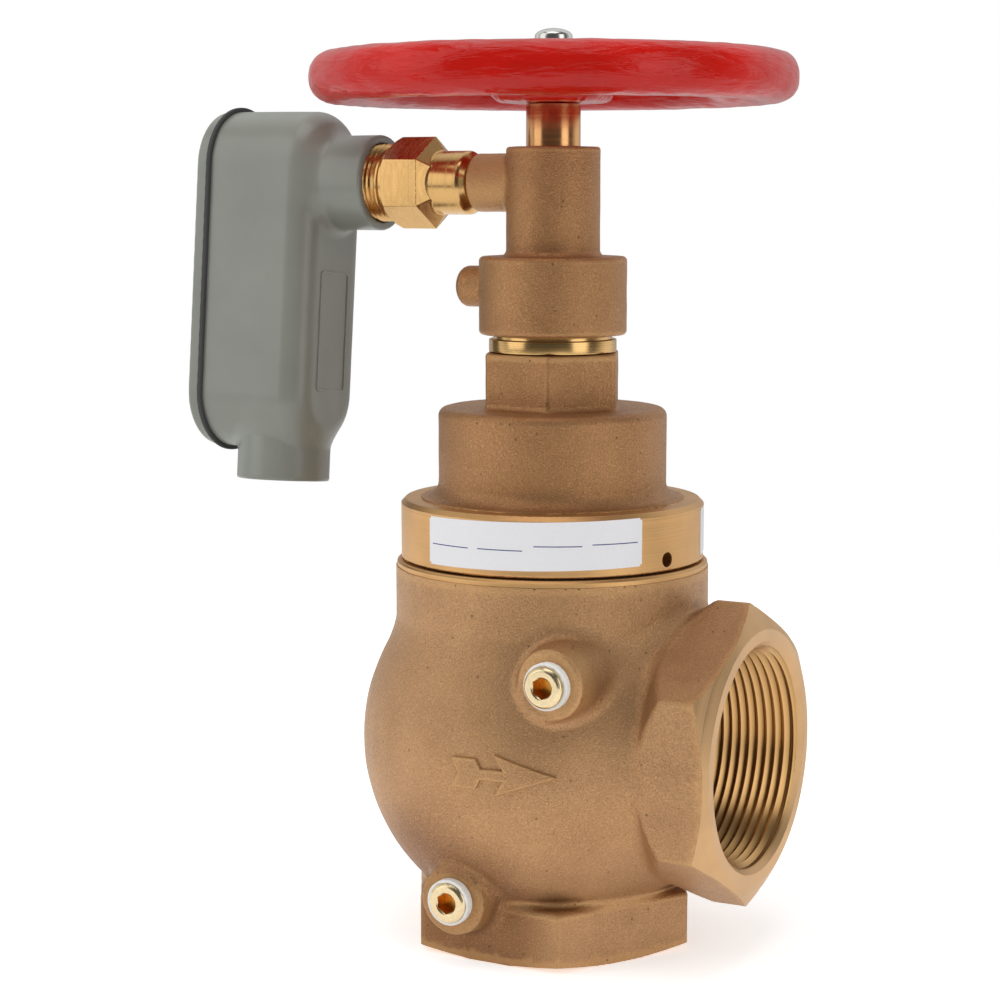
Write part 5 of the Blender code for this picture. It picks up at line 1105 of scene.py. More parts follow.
def new_finish(name):
    """Empty material with its Principled shader and its Object coordinates."""
    material = bpy.data.materials.new(name)
    material.use_nodes = True
    tree = material.node_tree
    shader = tree.nodes["Principled BSDF"]
    place = add_node(tree, "ShaderNodeTexCoord").outputs["Object"]
    return material, tree, shader, place


def sand_cast_bronze(name, open_skin, colours):
    """Bronze from a sand mould, blasted clean: matt tan skin of fine grains with random stains and painted
    glints, edges lightened as wear and painted highlight, and painted shade in hollows and round the lower
    gauge boss.
    """
    material, tree, shader, place = new_finish(name)
    grain = noise(tree, place, 0.55 * MM, 2.5, Roughness=0.6)
    blotch = noise(tree, place, 17 * MM, 4.0)
    pores = add_node(tree, "ShaderNodeTexVoronoi", {"Vector": place, "Scale": 1 / (5.5 * MM)})
    recess = add_node(tree, "ShaderNodeAttribute", attribute_name="recess").outputs["Fac"]
    ridge = add_node(tree, "ShaderNodeAttribute", attribute_name="ridge").outputs["Fac"]
    stain = remap(tree, blotch, 0.38, 0.72, 0.0, 0.2)
    # Painted shade: a patch round the lower gauge boss, full within its core and gone at its reach
    reach = add_node(tree, "ShaderNodeVectorMath", {0: place, 1: PAINTED_SHADE_PLACE}, operation="DISTANCE")
    painted_shade_patch = remap(tree, reach.outputs["Value"], PAINTED_SHADE_CORE, PAINTED_SHADE_REACH, 0.6, 0.0, smooth=True)
    # Random stains together with the painted shade patch
    painted_patch_and_stain = calculate(tree, "ADD", painted_shade_patch, stain)
    # Painted shade in hollows added to the stains and the patch, darkening the skin towards the darker
    # bronze
    corner = calculate(tree, "MULTIPLY_ADD", recess, 0.6, painted_patch_and_stain, clamp=True)
    base = between(tree, corner, open_skin, colours.bronze_dark)
    grained = scaled(tree, base, remap(tree, grain, 0.3, 0.72, 0.82, 1.2))
    # Edges lightened towards the machined colour: wear, and a painted highlight
    wear_and_edge_highlight = remap(tree, ridge, 0.05, 0.3, 0.0, 0.4)
    # Painted glints: grain peaks lightened towards the machined colour
    glint = remap(tree, grain, 0.6, 0.72, 0.0, 0.5)
    edged = between(tree, calculate(tree, "MAXIMUM", wear_and_edge_highlight, glint), grained, colours.machined)
    pitted = scaled(tree, edged, remap(tree, pores.outputs["Distance"], 0.04, 0.1, 0.45, 1.0))
    fill(tree, shader, {"Base Color": pitted, "Roughness": remap(tree, grain, 0.3, 0.7, 0.56, 0.36),
                        "Metallic": 0.8, "Normal": bumped(tree, grain, 0.8, 0.35 * MM)})
    return material


def axis_radius(tree, place, centre, about):
    """Distance of a point from an axis through a centre, and its place along that axis."""
    moved = add_node(tree, "ShaderNodeMapping", {"Vector": place, "Location": [-value for value in centre]})
    split = add_node(tree, "ShaderNodeSeparateXYZ", {0: moved.outputs[0]})
    first, second, along = ("X", "Y", "Z") if about == "Z" else ("Y", "Z", "X")
    flat = add_node(tree, "ShaderNodeCombineXYZ", {"X": split.outputs[first], "Y": split.outputs[second]})
    radius = add_node(tree, "ShaderNodeVectorMath", {0: flat.outputs[0]}, operation="LENGTH")
    return radius.outputs["Value"], split.outputs[along]


def turned_metal(name, colour, roughness, line, centre, about="Z", contrast=0.12):
    """Metal turned on a lathe: fine rings round its axis, which stretch the light across them."""
    material, tree, shader, place = new_finish(name)
    radius, along = axis_radius(tree, place, centre, about)
    track = add_node(tree, "ShaderNodeCombineXYZ", {"X": radius, "Y": along})
    rings = noise(tree, track.outputs[0], line, 2.0)
    cloud = noise(tree, place, 22 * MM, 3.0)
    tone = remap(tree, rings, 0.3, 0.7, 1 - contrast, 1 + contrast)
    shade = remap(tree, cloud, 0.3, 0.7, 0.9, 1.06)
    fill(tree, shader, {"Base Color": scaled(tree, colour[:3], calculate(tree, "MULTIPLY", tone, shade)),
                        "Roughness": remap(tree, rings, 0.3, 0.7, roughness * 0.8, roughness * 1.25),
                        "Metallic": 1.0, "Normal": bumped(tree, rings, contrast, 0.05 * MM)})
    return material


def cut_thread(name, centre, about, colours):
    """Freshly cut thread: bright crests and roots in a brown of painted shade, told apart by their distance
    from the axis.
    """
    material, tree, shader, place = new_finish(name)
    radius, _ = axis_radius(tree, place, centre, about)
    # Painted shade: deeper in the groove, the colour runs to the root's brown
    depth = remap(tree, radius, THREAD_CREST, THREAD_ROOT)
    fill(tree, shader, {"Base Color": between(tree, depth, colours.machined, colours.thread_root),
                        "Metallic": 0.95, "Roughness": 0.3})
    return material


def glossy_enamel(colours):
    """Thick glossy enamel, brushed or dipped on: hard clear highlights over long low runs."""
    material, tree, shader, place = new_finish("glossy_enamel")
    drawn = add_node(tree, "ShaderNodeMapping", {"Vector": place, "Rotation": (0, math.radians(9), 0),
                                                 "Scale": (0.3, 0.3, 1.6)})
    runs = noise(tree, drawn.outputs[0], 4.5 * MM, 4.0, Roughness=0.6, Distortion=0.4)
    cloud = noise(tree, place, 30 * MM, 2.0)
    bent = bumped(tree, runs, 0.75, 1.1 * MM)
    fill(tree, shader, {
        "Base Color": scaled(tree, colours.enamel[:3], remap(tree, cloud, 0.3, 0.7, 0.86, 1.1)),
        "Roughness": 0.32, "Specular IOR Level": 0.05, "Coat Weight": 0.5, "Coat Roughness": 0.05,
        "Normal": bent, "Coat Normal": bent})
    return material


def satin_paint(colours):
    """Sprayed satin paint on a die casting: even grey with a faint orange peel."""
    material, tree, shader, place = new_finish("satin_grey_paint")
    peel = noise(tree, place, 0.9 * MM, 2.0)
    cloud = noise(tree, place, 26 * MM, 3.0)
    fill(tree, shader, {
        "Base Color": scaled(tree, colours.grey_paint[:3], remap(tree, cloud, 0.3, 0.7, 0.94, 1.05)),
        "Roughness": remap(tree, peel, 0.3, 0.7, 0.28, 0.36),
        "Normal": bumped(tree, peel, 0.15, 0.08 * MM)})
    return material


def fine_grained(name, colour, roughness, grain, depth, spread, metallic):
    """Plain moulded, wound or plated surface with a fine grain of a real size."""
    material, tree, shader, place = new_finish(name)
    grains = noise(tree, place, grain, 3.0)
    tone = remap(tree, grains, 0.3, 0.7, 1 - spread, 1 + spread)
    fill(tree, shader, {"Base Color": scaled(tree, colour[:3], tone), "Roughness": roughness,
                        "Metallic": metallic, "Normal": bumped(tree, grains, 0.3, depth)})
    return material


# Finely grained finishes: name, colour, roughness, grain and its depth, spread of tone, metal or not
FINE_FINISHES = (
    ("broached_brass", "socket_brass", 0.35, 1.2 * MM, 0.02 * MM, 0.1, 1.0),
    ("bright_brass", "plug_brass", 0.25, 1.2 * MM, 0.02 * MM, 0.06, 1.0),
    ("zinc_plate", "zinc", 0.22, 1.5 * MM, 0.02 * MM, 0.08, 1.0),
    ("black_rubber", "rubber", 0.6, 0.6 * MM, 0.05 * MM, 0.1, 0.0),
    ("thread_tape", "tape", 0.5, 0.8 * MM, 0.15 * MM, 0.05, 0.0),
    ("label_paper", "paper", 0.35, 0.7 * MM, 0.01 * MM, 0.015, 0.0),
    ("label_ink", "ink", 0.4, 0.7 * MM, 0.01 * MM, 0.04, 0.0),
    ("moulded_plastic", "plastic", 0.45, 0.5 * MM, 0.03 * MM, 0.1, 0.0),
    ("red_moulded_plastic", "button", 0.4, 0.5 * MM, 0.03 * MM, 0.1, 0.0),
    ("graphite_packing", "rubber", 0.7, 0.9 * MM, 0.12 * MM, 0.1, 0.0),
)


def finishes():
    """Every finish of the valve by name, made once."""
    made = bpy.data.materials
    if "sand_cast_bronze" in made:
        return made
    colours = bpy.context.scene.valve_colours
    outlet = (AXIS_X, 0, OUTLET_Z)
    branch = (AXIS_X, 0, BRANCH_Z)
    axis = (AXIS_X, 0, 0)
    sand_cast_bronze("sand_cast_bronze", colours.bronze, colours)
    sand_cast_bronze("sand_cast_bonnet_bronze", colours.upper_bronze, colours)
    turned_metal("turned_bronze", colours.machined, 0.42, 0.45 * MM, axis)
    turned_metal("faced_bronze", colours.faced, 0.42, 0.5 * MM, outlet, "X", 0.07)
    cut_thread("cut_bronze_thread", outlet, "X", colours)
    cut_thread("cut_inlet_thread", axis, "Z", colours)
    turned_metal("turned_brass", colours.brass, 0.2, 0.4 * MM, axis)
    turned_metal("turned_stem_bronze", colours.stem_bronze, 0.22, 0.8 * MM, axis, "Z", 0.03)
    turned_metal("polished_brass", colours.adaptor_brass, 0.25, 1.1 * MM, branch, "X", 0.025)
    glossy_enamel(colours)
    satin_paint(colours)
    for name, colour, *values in FINE_FINISHES:
        fine_grained(name, getattr(colours, colour), *values)
    return made


# Geometry Nodes
def new_tree(name, lengths, steps):
    """Geometry tree with named lengths, steps along its curve and a finish, and those inputs' outputs."""
    tree = bpy.data.node_groups.new(name, "GeometryNodeTree")
    for label, value in lengths.items():
        tree.interface.new_socket(label, in_out="INPUT",
                                  socket_type="NodeSocketFloat").default_value = value
    tree.interface.new_socket("Steps", in_out="INPUT", socket_type="NodeSocketInt").default_value = steps
    tree.interface.new_socket("Finish", in_out="INPUT", socket_type="NodeSocketMaterial")
    tree.interface.new_socket("Geometry", in_out="OUTPUT", socket_type="NodeSocketGeometry")
    return tree, add_node(tree, "NodeGroupInput").outputs


def close_tree(tree, shape, finish):
    """Ends a tree with real geometry in its finish."""
    whole = add_node(tree, "GeometryNodeRealizeInstances", {0: shape})
    dressed = add_node(tree, "GeometryNodeSetMaterial", {"Geometry": whole.outputs[0], "Material": finish})
    add_node(tree, "NodeGroupOutput", {"Geometry": dressed.outputs[0]})
    return tree


def rule_tree():
    """Printed rule: a flat strip of ink bent round the flange."""
    tree, given = new_tree("printed_rule", {"Radius": 51 * MM, "Start": 0.0, "Sweep": 0.2,
                                            "Width": 0.3 * MM, "Thickness": 0.06 * MM}, 24)
    path = add_node(tree, "GeometryNodeCurveArc", {"Resolution": given["Steps"], "Radius": given["Radius"],
                                                   "Start Angle": given["Start"],
                                                   "Sweep Angle": given["Sweep"]}, mode="RADIUS")
    upright = add_node(tree, "GeometryNodeSetCurveNormal", {"Curve": path.outputs[0]}, mode="Z_UP")
    strip = add_node(tree, "GeometryNodeCurvePrimitiveQuadrilateral",
                     {"Width": given["Thickness"], "Height": given["Width"]})
    bent = add_node(tree, "GeometryNodeCurveToMesh", {"Curve": upright.outputs[0],
                                                      "Profile Curve": strip.outputs[0], "Fill Caps": True})
    return close_tree(tree, bent.outputs[0], given["Finish"])


def helix(tree, given, height):
    """Curve wound round Z at the tree's radius, with its turns and steps."""
    return add_node(tree, "GeometryNodeCurveSpiral", {
        "Resolution": given["Steps"], "Rotations": given["Turns"], "Start Radius": given["Radius"],
        "End Radius": given["Radius"], "Height": height}).outputs[0]


def ridge_tree():
    """Thread: a V-shaped ridge wound in a helix, fading out at its ends."""
    tree, given = new_tree("thread_ridge", {"Radius": 36.5 * MM, "Depth": 2 * MM, "Pitch": 3 * MM,
                                            "Turns": 8.0}, 96)
    path = helix(tree, given, calculate(tree, "MULTIPLY", given["Pitch"], given["Turns"]))
    along = add_node(tree, "GeometryNodeSplineParameter").outputs["Factor"]
    nearest = calculate(tree, "MINIMUM", along, calculate(tree, "SUBTRACT", 1.0, along))
    fade = remap(tree, nearest, 0.0, 0.06, 0.05, 1.0)
    upright = add_node(tree, "GeometryNodeSetCurveNormal", {"Curve": path}, mode="Z_UP")
    double = calculate(tree, "MULTIPLY", given["Depth"], 2.0)
    base = calculate(tree, "MULTIPLY", given["Pitch"], 0.94)
    shape = add_node(tree, "GeometryNodeCurvePrimitiveCircle", {"Resolution": 4, "Radius": 0.5},
                     mode="RADIUS")
    size = add_node(tree, "ShaderNodeCombineXYZ", {"X": double, "Y": base, "Z": 1.0})
    diamond = add_node(tree, "GeometryNodeTransform", {"Geometry": shape.outputs[0],
                                                       "Scale": size.outputs[0]})
    wound = add_node(tree, "GeometryNodeCurveToMesh", {"Curve": upright.outputs[0], "Scale": fade,
                                                       "Profile Curve": diamond.outputs[0],
                                                       "Fill Caps": True})
    return close_tree(tree, wound.outputs[0], given["Finish"])


def coil_tree():
    """Spring: round wire wound in a helix."""
    tree, given = new_tree("coil_spring", {"Radius": 10 * MM, "Wire": 1 * MM, "Length": 20 * MM,
                                           "Turns": 5.0}, 48)
    wire = add_node(tree, "GeometryNodeCurvePrimitiveCircle", {"Resolution": 16, "Radius": given["Wire"]},
                    mode="RADIUS")
    wound = add_node(tree, "GeometryNodeCurveToMesh", {"Curve": helix(tree, given, given["Length"]),
                                                       "Profile Curve": wire.outputs[0], "Fill Caps": True})
    return close_tree(tree, wound.outputs[0], given["Finish"])


def from_nodes(name, tree_name, values):
    """Plain mesh of one of the trees above, built at its first use, with its named inputs set."""
    builders = {"printed_rule": rule_tree, "thread_ridge": ridge_tree, "coil_spring": coil_tree}
    tree = bpy.data.node_groups.get(tree_name) or builders[tree_name]()
    carrier = bpy.data.objects.new(name, bpy.data.meshes.new(name))
    bpy.context.scene.collection.objects.link(carrier)
    modifier = carrier.modifiers.new(name, "NODES")
    modifier.node_group = tree
    for item in tree.interface.items_tree:
        if item.in_out == "INPUT" and item.name in values:
            modifier[item.identifier] = values[item.name]
    evaluated = carrier.evaluated_get(bpy.context.evaluated_depsgraph_get())
    mesh = bpy.data.meshes.new_from_object(evaluated)
    bpy.data.objects.remove(carrier)
    mesh.name = name
    return mesh


def thread_ridge(name, radius, depth, pitch, length, to_world, finish, body, slot):
    """A thread's ridge as a piece, wound over a length and put in its place."""
    mesh = from_nodes(name, "thread_ridge", {"Radius": radius, "Depth": depth, "Pitch": pitch,
                                             "Turns": length / pitch, "Finish": finish})
    mesh.transform(to_world)
    mesh.shade_smooth()
    mesh.set_sharp_from_angle(angle=math.radians(40))
    return place_mesh(name, mesh, body, slot)


# Frames of the turned pieces
def valve_axis(height=0.0):
    """Place of a piece turned about the valve's axis."""
    return Matrix.Translation((AXIS_X, 0, height))


def outlet_axis(out):
    """Place of a piece turned about the outlet's axis, its +Z pointing out."""
    return Matrix.Translation((AXIS_X + out, 0, OUTLET_Z)) @ Matrix.Rotation(math.radians(90), 4, "Y")


def branch_axis(out=0.0):
    """Place of a piece turned about the branch's axis, its +Z pointing away from the valve."""
    return Matrix.Translation((AXIS_X - out, 0, BRANCH_Z)) @ Matrix.Rotation(math.radians(-90), 4, "Y")


class ValveOperator:
    """What the piece operators share."""

    bl_options = {"REGISTER", "UNDO"}


class OBJECT_OT_body_casting(ValveOperator, bpy.types.Operator):
    """Builds the cast body with its machined faces and its flow arrow"""

    bl_idname = "object.valve_body_casting"
    bl_label = "Body Casting"

    def execute(self, context):
        sizes = context.scene.valve_sizes
        made = finishes()
        cast_piece("body_casting", body_field(sizes), node_box("valve_body"), 1.1 * MM, 0.55, "valve",
                   "cast_bronze", ["valve_body"],
                   [made["sand_cast_bronze"], made["turned_bronze"], made["faced_bronze"]], body_finish)
        inner = COLLAR_RADIUS - LAND_WIDTH
        outer = COLLAR_RADIUS - BAND_STEP
        land = [(inner, BODY_TOP - COLLAR_BAND), (outer, BODY_TOP - COLLAR_BAND),
                (outer, BODY_TOP - LAND_CHAMFER), (outer - LAND_CHAMFER, BODY_TOP), (inner, BODY_TOP)]
        mesh = lathe("collar_land", land, 256, valve_axis(), made["turned_bronze"])
        place_mesh("collar_land", mesh, "valve", "cast_bronze")
        low = (AXIS_X + ARROW_TAIL - 3 * MM, -BULB_RADIUS - 1 * MM, ARROW_Z - 9 * MM)
        high = (AXIS_X + ARROW_TIP + 2 * MM, -45 * MM, ARROW_Z + 9 * MM)
        # The short depth keeps the bronze's painted shade and lightened edges narrow on the arrow
        cast_piece("flow_arrow", arrow_field(sizes), (low, high), 0.4 * MM, 0.5, "valve", "cast_bronze", [],
                   [made["sand_cast_bronze"]], depth=0.9 * MM)
        return {"FINISHED"}


class OBJECT_OT_pipe_threads(ValveOperator, bpy.types.Operator):
    """Winds the ridges of the outlet's, the inlet's and the conduit hub's threads"""

    bl_idname = "object.valve_pipe_threads"
    bl_label = "Pipe Threads"

    def execute(self, context):
        sizes = context.scene.valve_sizes
        made = finishes()
        pitch = sizes.pipe_pitch
        thread_ridge("outlet_thread", BORE_RADIUS, sizes.pipe_depth, pitch, OUTLET_THREAD_LENGTH,
                     outlet_axis(OUTLET_FACE - OUTLET_THREAD_DEPTH), made["cut_bronze_thread"], "valve",
                     "cast_bronze")
        thread_ridge("inlet_thread", BORE_RADIUS, sizes.pipe_depth, pitch, INLET_THREAD_LENGTH,
                     valve_axis(INLET_THREAD_START),
                     made["cut_inlet_thread"], "valve", "cast_bronze")
        thread_ridge("adaptor_thread", ADAPTOR_CORE_RADIUS, sizes.conduit_depth, sizes.conduit_pitch,
                     ADAPTOR_END - HEX_END - ADAPTOR_THREAD_SPARE,
                     branch_axis(HEX_END + ADAPTOR_THREAD_START), made["polished_brass"], "valve", "brass")
        return {"FINISHED"}


class OBJECT_OT_gauge_plugs(ValveOperator, bpy.types.Operator):
    """Builds the two hexagon socket plugs and the thread tape wound on them"""

    bl_idname = "object.valve_gauge_plugs"
    bl_label = "Gauge Plugs"

    def execute(self, context):
        made = finishes()
        for side, across, height, reach, face in PLUGS:
            low = (AXIS_X + across - PLUG_RADIUS, -face, height - PLUG_RADIUS)
            high = (AXIS_X + across + PLUG_RADIUS, -face + PLUG_LENGTH, height + PLUG_RADIUS)
            cast_piece(f"{side}_plug", plug_field(across, height, face), (low, high), 0.3 * MM, 0.3,
                       "valve", "brass", [f"{side}_gauge_plug"],
                       [made["bright_brass"], made["broached_brass"]], plug_finish(across, height, face),
                       1 * MM)
            turned = Matrix.Rotation(math.radians(90), 4, "X")
            place = Matrix.Translation((AXIS_X + across, 0, height)) @ turned
            tape_low, tape_high = reach - 1.0 * MM, reach + TAPE_WIDTH
            outline = eased([(PLUG_RADIUS, tape_low), (TAPE_RADIUS, tape_low), (TAPE_RADIUS, tape_high),
                             (PLUG_RADIUS, tape_high)], 0.4 * MM)
            mesh = lathe(f"{side}_tape", outline, 96, place, made["thread_tape"])
            for vertex in mesh.vertices:
                swell = ripple(*[np.array([value]) for value in vertex.co], 2.6 * MM, 41)[0]
                from_axis = vertex.co - Vector((AXIS_X + across, vertex.co.y, height))
                vertex.co += from_axis.normalized() * 0.07 * MM * swell
                vertex.co.y += 0.12 * MM * swell
            place_mesh(f"{side}_tape", mesh, "valve", "white_tape", f"{side}_gauge_plug_tape")
        return {"FINISHED"}


class OBJECT_OT_bonnet(ValveOperator, bpy.types.Operator):
    """Builds the bonnet casting"""

    bl_idname = "object.valve_bonnet"
    bl_label = "Bonnet"

    def execute(self, context):
        made = finishes()
        cast_piece("bonnet_casting", bonnet_field, node_box("bonnet"), 0.85 * MM, 0.5, "valve",
                   "cast_bronze", ["bonnet"], [made["sand_cast_bonnet_bronze"], made["turned_bronze"]],
                   bonnet_finish, 2.5 * MM)
        return {"FINISHED"}


class OBJECT_OT_stem(ValveOperator, bpy.types.Operator):
    """Turns the stem and the packing nut's brass ring"""

    bl_idname = "object.valve_stem"
    bl_label = "Stem and Packing Nut"

    def execute(self, context):
        made = finishes()
        foot_top = STEM_LOW + STEM_FOOT_HEIGHT
        outline = [(0, STEM_LOW), (STEM_FOOT_RADIUS, STEM_LOW), (STEM_FOOT_RADIUS, foot_top),
                   (STEM_RADIUS, foot_top), (STEM_RADIUS, CAM_TOP - CAM_LENGTH),
                   (CAM_WAIST_RADIUS, CAM_TOP), (CAM_WAIST_RADIUS, CAM_TOP + 3 * MM),
                   (STEM_RADIUS, CAM_TOP + 6 * MM), (STEM_RADIUS, STEM_SHOULDER_Z),
                   (STEM_SQUARE_RADIUS, STEM_SHOULDER_Z), (STEM_SQUARE_RADIUS, WHEEL_HUB_HIGH - 0.3 * MM),
                   (STEM_TIP_RADIUS, WHEEL_HUB_HIGH - 0.3 * MM), (STEM_TIP_RADIUS, STEM_HIGH),
                   (0, STEM_HIGH)]
        mesh = lathe("turned_stem", eased(outline, 0.3 * MM, 3), 128, valve_axis(),
                     made["turned_stem_bronze"])
        place_mesh("turned_stem", mesh, "stem_assembly", "brass", "stem")
        shoulder = HOUSING_LOW + HOUSING_SPIGOT_DEPTH - 0.3 * MM
        tail = RING_LOW - PACKING_NUT_TAIL
        ring = [(PACKING_NUT_BORE, tail), (PACKING_NUT_TAIL_RADIUS, tail),
                (PACKING_NUT_TAIL_RADIUS, RING_LOW), (PACKING_NUT_RADIUS, RING_LOW),
                (PACKING_NUT_RADIUS, RING_TOP), (PACKING_NUT_SPIGOT, RING_TOP),
                (PACKING_NUT_SPIGOT, shoulder), (PACKING_NUT_BORE, shoulder)]
        mesh = lathe("packing_ring", eased(ring, 0.35 * MM, 3), 128, valve_axis(), made["turned_brass"])
        place_mesh("packing_ring", mesh, "valve", "brass", "packing_nut")
        return {"FINISHED"}


class OBJECT_OT_switch_housing(ValveOperator, bpy.types.Operator):
    """Builds the cast switch housing round the stem"""

    bl_idname = "object.valve_switch_housing"
    bl_label = "Switch Housing"

    def execute(self, context):
        made = finishes()
        cast_piece("housing_casting", housing_field, node_box("switch_housing"), 0.7 * MM, 0.5, "valve",
                   "cast_bronze", ["switch_housing"], [made["sand_cast_bonnet_bronze"]], depth=2 * MM)
        return {"FINISHED"}


class OBJECT_OT_adaptor(ValveOperator, bpy.types.Operator):
    """Builds the polished brass adaptor"""

    bl_idname = "object.valve_adaptor"
    bl_label = "Adaptor"

    def execute(self, context):
        made = finishes()
        cast_piece("brass_adaptor", adaptor_field, node_box("conduit_adaptor"), 0.42 * MM, 0.5, "valve",
                   "brass", ["conduit_adaptor"], [made["polished_brass"]], depth=1 * MM)
        return {"FINISHED"}


class OBJECT_OT_conduit_body(ValveOperator, bpy.types.Operator):
    """Builds the grey conduit body with its gasket and cover"""

    bl_idname = "object.valve_conduit_body"
    bl_label = "Conduit Body"

    def execute(self, context):
        sizes = context.scene.valve_sizes
        made = finishes()
        grey = made["satin_grey_paint"]
        cast_piece("conduit_shell", shell_field, node_box("conduit_body"), 0.8 * MM, 0.5, "valve",
                   "grey_paint", ["conduit_body"], [grey])
        low, high = node_box("conduit_body")
        cast_piece("conduit_rib", rib_field(sizes), ((AXIS_X - SHELL_FRONT - 1 * MM, low[1], low[2]),
                                                     (AXIS_X - SHELL_FRONT + 1 * MM, high[1], high[2])),
                   0.3 * MM, 0.4, "valve", "grey_paint", [], [grey], depth=0.5 * MM)
        cast_piece("switch_cover", cover_field, node_box("conduit_cover"), 0.6 * MM, 0.35, "valve",
                   "grey_paint", ["conduit_cover"], [grey])
        cast_piece("cover_seal", gasket_field, node_box("cover_gasket"), 0.45 * MM, 0.3, "valve",
                   "black_rubber", ["cover_gasket"], [made["black_rubber"]])
        return {"FINISHED"}


class OBJECT_OT_handwheel(ValveOperator, bpy.types.Operator):
    """Builds the enamelled handwheel and the domed nut and washer that hold it"""

    bl_idname = "object.valve_handwheel"
    bl_label = "Handwheel"

    def execute(self, context):
        made = finishes()
        cast_piece("enamelled_wheel", wheel_field(context.scene.valve_sizes), node_box("handwheel"),
                   0.85 * MM, 0.7, "stem_assembly", "red_enamel", ["handwheel"], [made["glossy_enamel"]])
        low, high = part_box("wheel_nut")
        dome = [(0, low.z), (NUT_RADIUS, low.z), (NUT_RADIUS, low.z + NUT_SKIRT)]
        rise = high.z - low.z - NUT_SKIRT
        steps = 8
        for step in range(1, steps + 1):
            angle = math.radians(90) * step / steps
            dome.append((NUT_RADIUS * math.cos(angle), low.z + NUT_SKIRT + rise * math.sin(angle)))
        dome[-1] = (0, high.z)
        mesh = lathe("domed_nut", dome, 64, valve_axis(), made["zinc_plate"])
        place_mesh("domed_nut", mesh, "stem_assembly", "zinc_steel", "wheel_nut")
        low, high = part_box("wheel_washer")
        washer = eased([(WASHER_BORE, low.z), (WASHER_RADIUS, low.z), (WASHER_RADIUS, high.z),
                        (WASHER_BORE, high.z)], 0.3 * MM)
        mesh = lathe("plated_washer", washer, 64, valve_axis(), made["zinc_plate"])
        place_mesh("plated_washer", mesh, "stem_assembly", "zinc_steel", "wheel_washer")
        return {"FINISHED"}


class OBJECT_OT_labels(ValveOperator, bpy.types.Operator):
    """Sticks the two paper labels with their blank rule lines round the flange"""

    bl_idname = "object.valve_labels"
    bl_label = "Labels"

    def execute(self, context):
        sizes = context.scene.valve_sizes
        made = finishes()
        for name, start, end in (("front_label", *FRONT_LABEL), ("side_label", *SIDE_LABEL)):
            mesh = label_mesh(name, start, end, LABEL_LOW, sizes)
            mesh.materials.append(made["label_paper"])
            place_mesh(name, mesh, "valve", "white_tape")
        start, end = FRONT_LABEL
        for number, (first, last, up) in enumerate(RULES):
            name = f"label_rule_{number + 1}"
            mesh = from_nodes(name, "printed_rule", {
                "Radius": FLANGE_RADIUS + sizes.label_lift, "Start": start + (end - start) * first,
                "Sweep": (end - start) * (last - first), "Width": sizes.rule_width,
                "Finish": made["label_ink"]})
            rise = LABEL_SLANT * (first + last) / 2 + sizes.label_height * up
            mesh.transform(valve_axis(LABEL_LOW + rise))
            place_mesh(name, mesh, "valve", "white_tape")
        return {"FINISHED"}


def label_mesh(name, start, end, low, sizes):
    """Thin curved sheet with rounded corners round the flange."""
    thickness, height = sizes.label_lift, sizes.label_height
    columns = max(24, int((end - start) / math.radians(0.8)))
    rows = int(height / (0.32 * MM))
    bm = bmesh.new()
    layers = []
    for radius in (FLANGE_RADIUS + 0.02 * MM, FLANGE_RADIUS + thickness):
        layer = []
        for column in range(columns + 1):
            angle = start + (end - start) * column / columns
            layer.append([bm.verts.new((AXIS_X + radius * math.cos(angle), radius * math.sin(angle),
                                        low + LABEL_SLANT * column / columns + height * row / rows))
                          for row in range(rows + 1)])
        layers.append(layer)
    inner, outer = layers
    corner = 1.6 * MM
    length = FLANGE_RADIUS * (end - start)

    def kept(column, row):
        across = (column + 0.5) / columns * length
        up = (row + 0.5) / rows * height
        side = min(across, length - across)
        edge = min(up, height - up)
        if side >= corner or edge >= corner:
            return True
        return math.hypot(corner - side, corner - edge) <= corner

    for column in range(columns):
        for row in range(rows):
            if not kept(column, row):
                continue
            bm.faces.new((outer[column][row], outer[column + 1][row], outer[column + 1][row + 1],
                          outer[column][row + 1]))
            bm.faces.new((inner[column][row], inner[column][row + 1], inner[column + 1][row + 1],
                          inner[column + 1][row]))
            for side, (dc, dr), (a, b) in (("left", (-1, 0), ((column, row + 1), (column, row))),
                                           ("right", (1, 0), ((column + 1, row), (column + 1, row + 1))),
                                           ("under", (0, -1), ((column, row), (column + 1, row))),
                                           ("over", (0, 1), ((column + 1, row + 1), (column, row + 1)))):
                near = (column + dc, row + dr)
                if 0 <= near[0] < columns and 0 <= near[1] < rows and kept(*near):
                    continue
                bm.faces.new((inner[a[0]][a[1]], inner[b[0]][b[1]], outer[b[0]][b[1]], outer[a[0]][a[1]]))
    bmesh.ops.delete(bm, geom=[vert for vert in bm.verts if not vert.link_faces], context="VERTS")
    mesh = bpy.data.meshes.new(name)
    bm.to_mesh(mesh)
    bm.free()
    mesh.shade_smooth()
    mesh.set_sharp_from_angle(angle=math.radians(40))
    return mesh


class OBJECT_OT_springs(ValveOperator, bpy.types.Operator):
    """Winds the regulating spring and the plunger's spring"""

    bl_idname = "object.valve_springs"
    bl_label = "Springs"

    def execute(self, context):
        made = finishes()
        for node, radius, wire, turns, moving in SPRINGS:
            low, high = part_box(node)
            upright = moving == "piston_assembly"
            first, last = (low.z, high.z) if upright else (AXIS_X - high.x, AXIS_X - low.x)
            place = valve_axis(first + wire) if upright else branch_axis(first + wire)
            mesh = from_nodes(f"wound_{node}", "coil_spring", {
                "Radius": radius, "Wire": wire, "Length": last - first - 2 * wire,
                "Turns": turns, "Finish": made["zinc_plate"]})
            mesh.transform(place)
            mesh.shade_smooth()
            piece = place_mesh(f"wound_{node}", mesh, None, "zinc_steel", node)
            if upright:
                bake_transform(piece)
            else:
                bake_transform(piece)
        return {"FINISHED"}


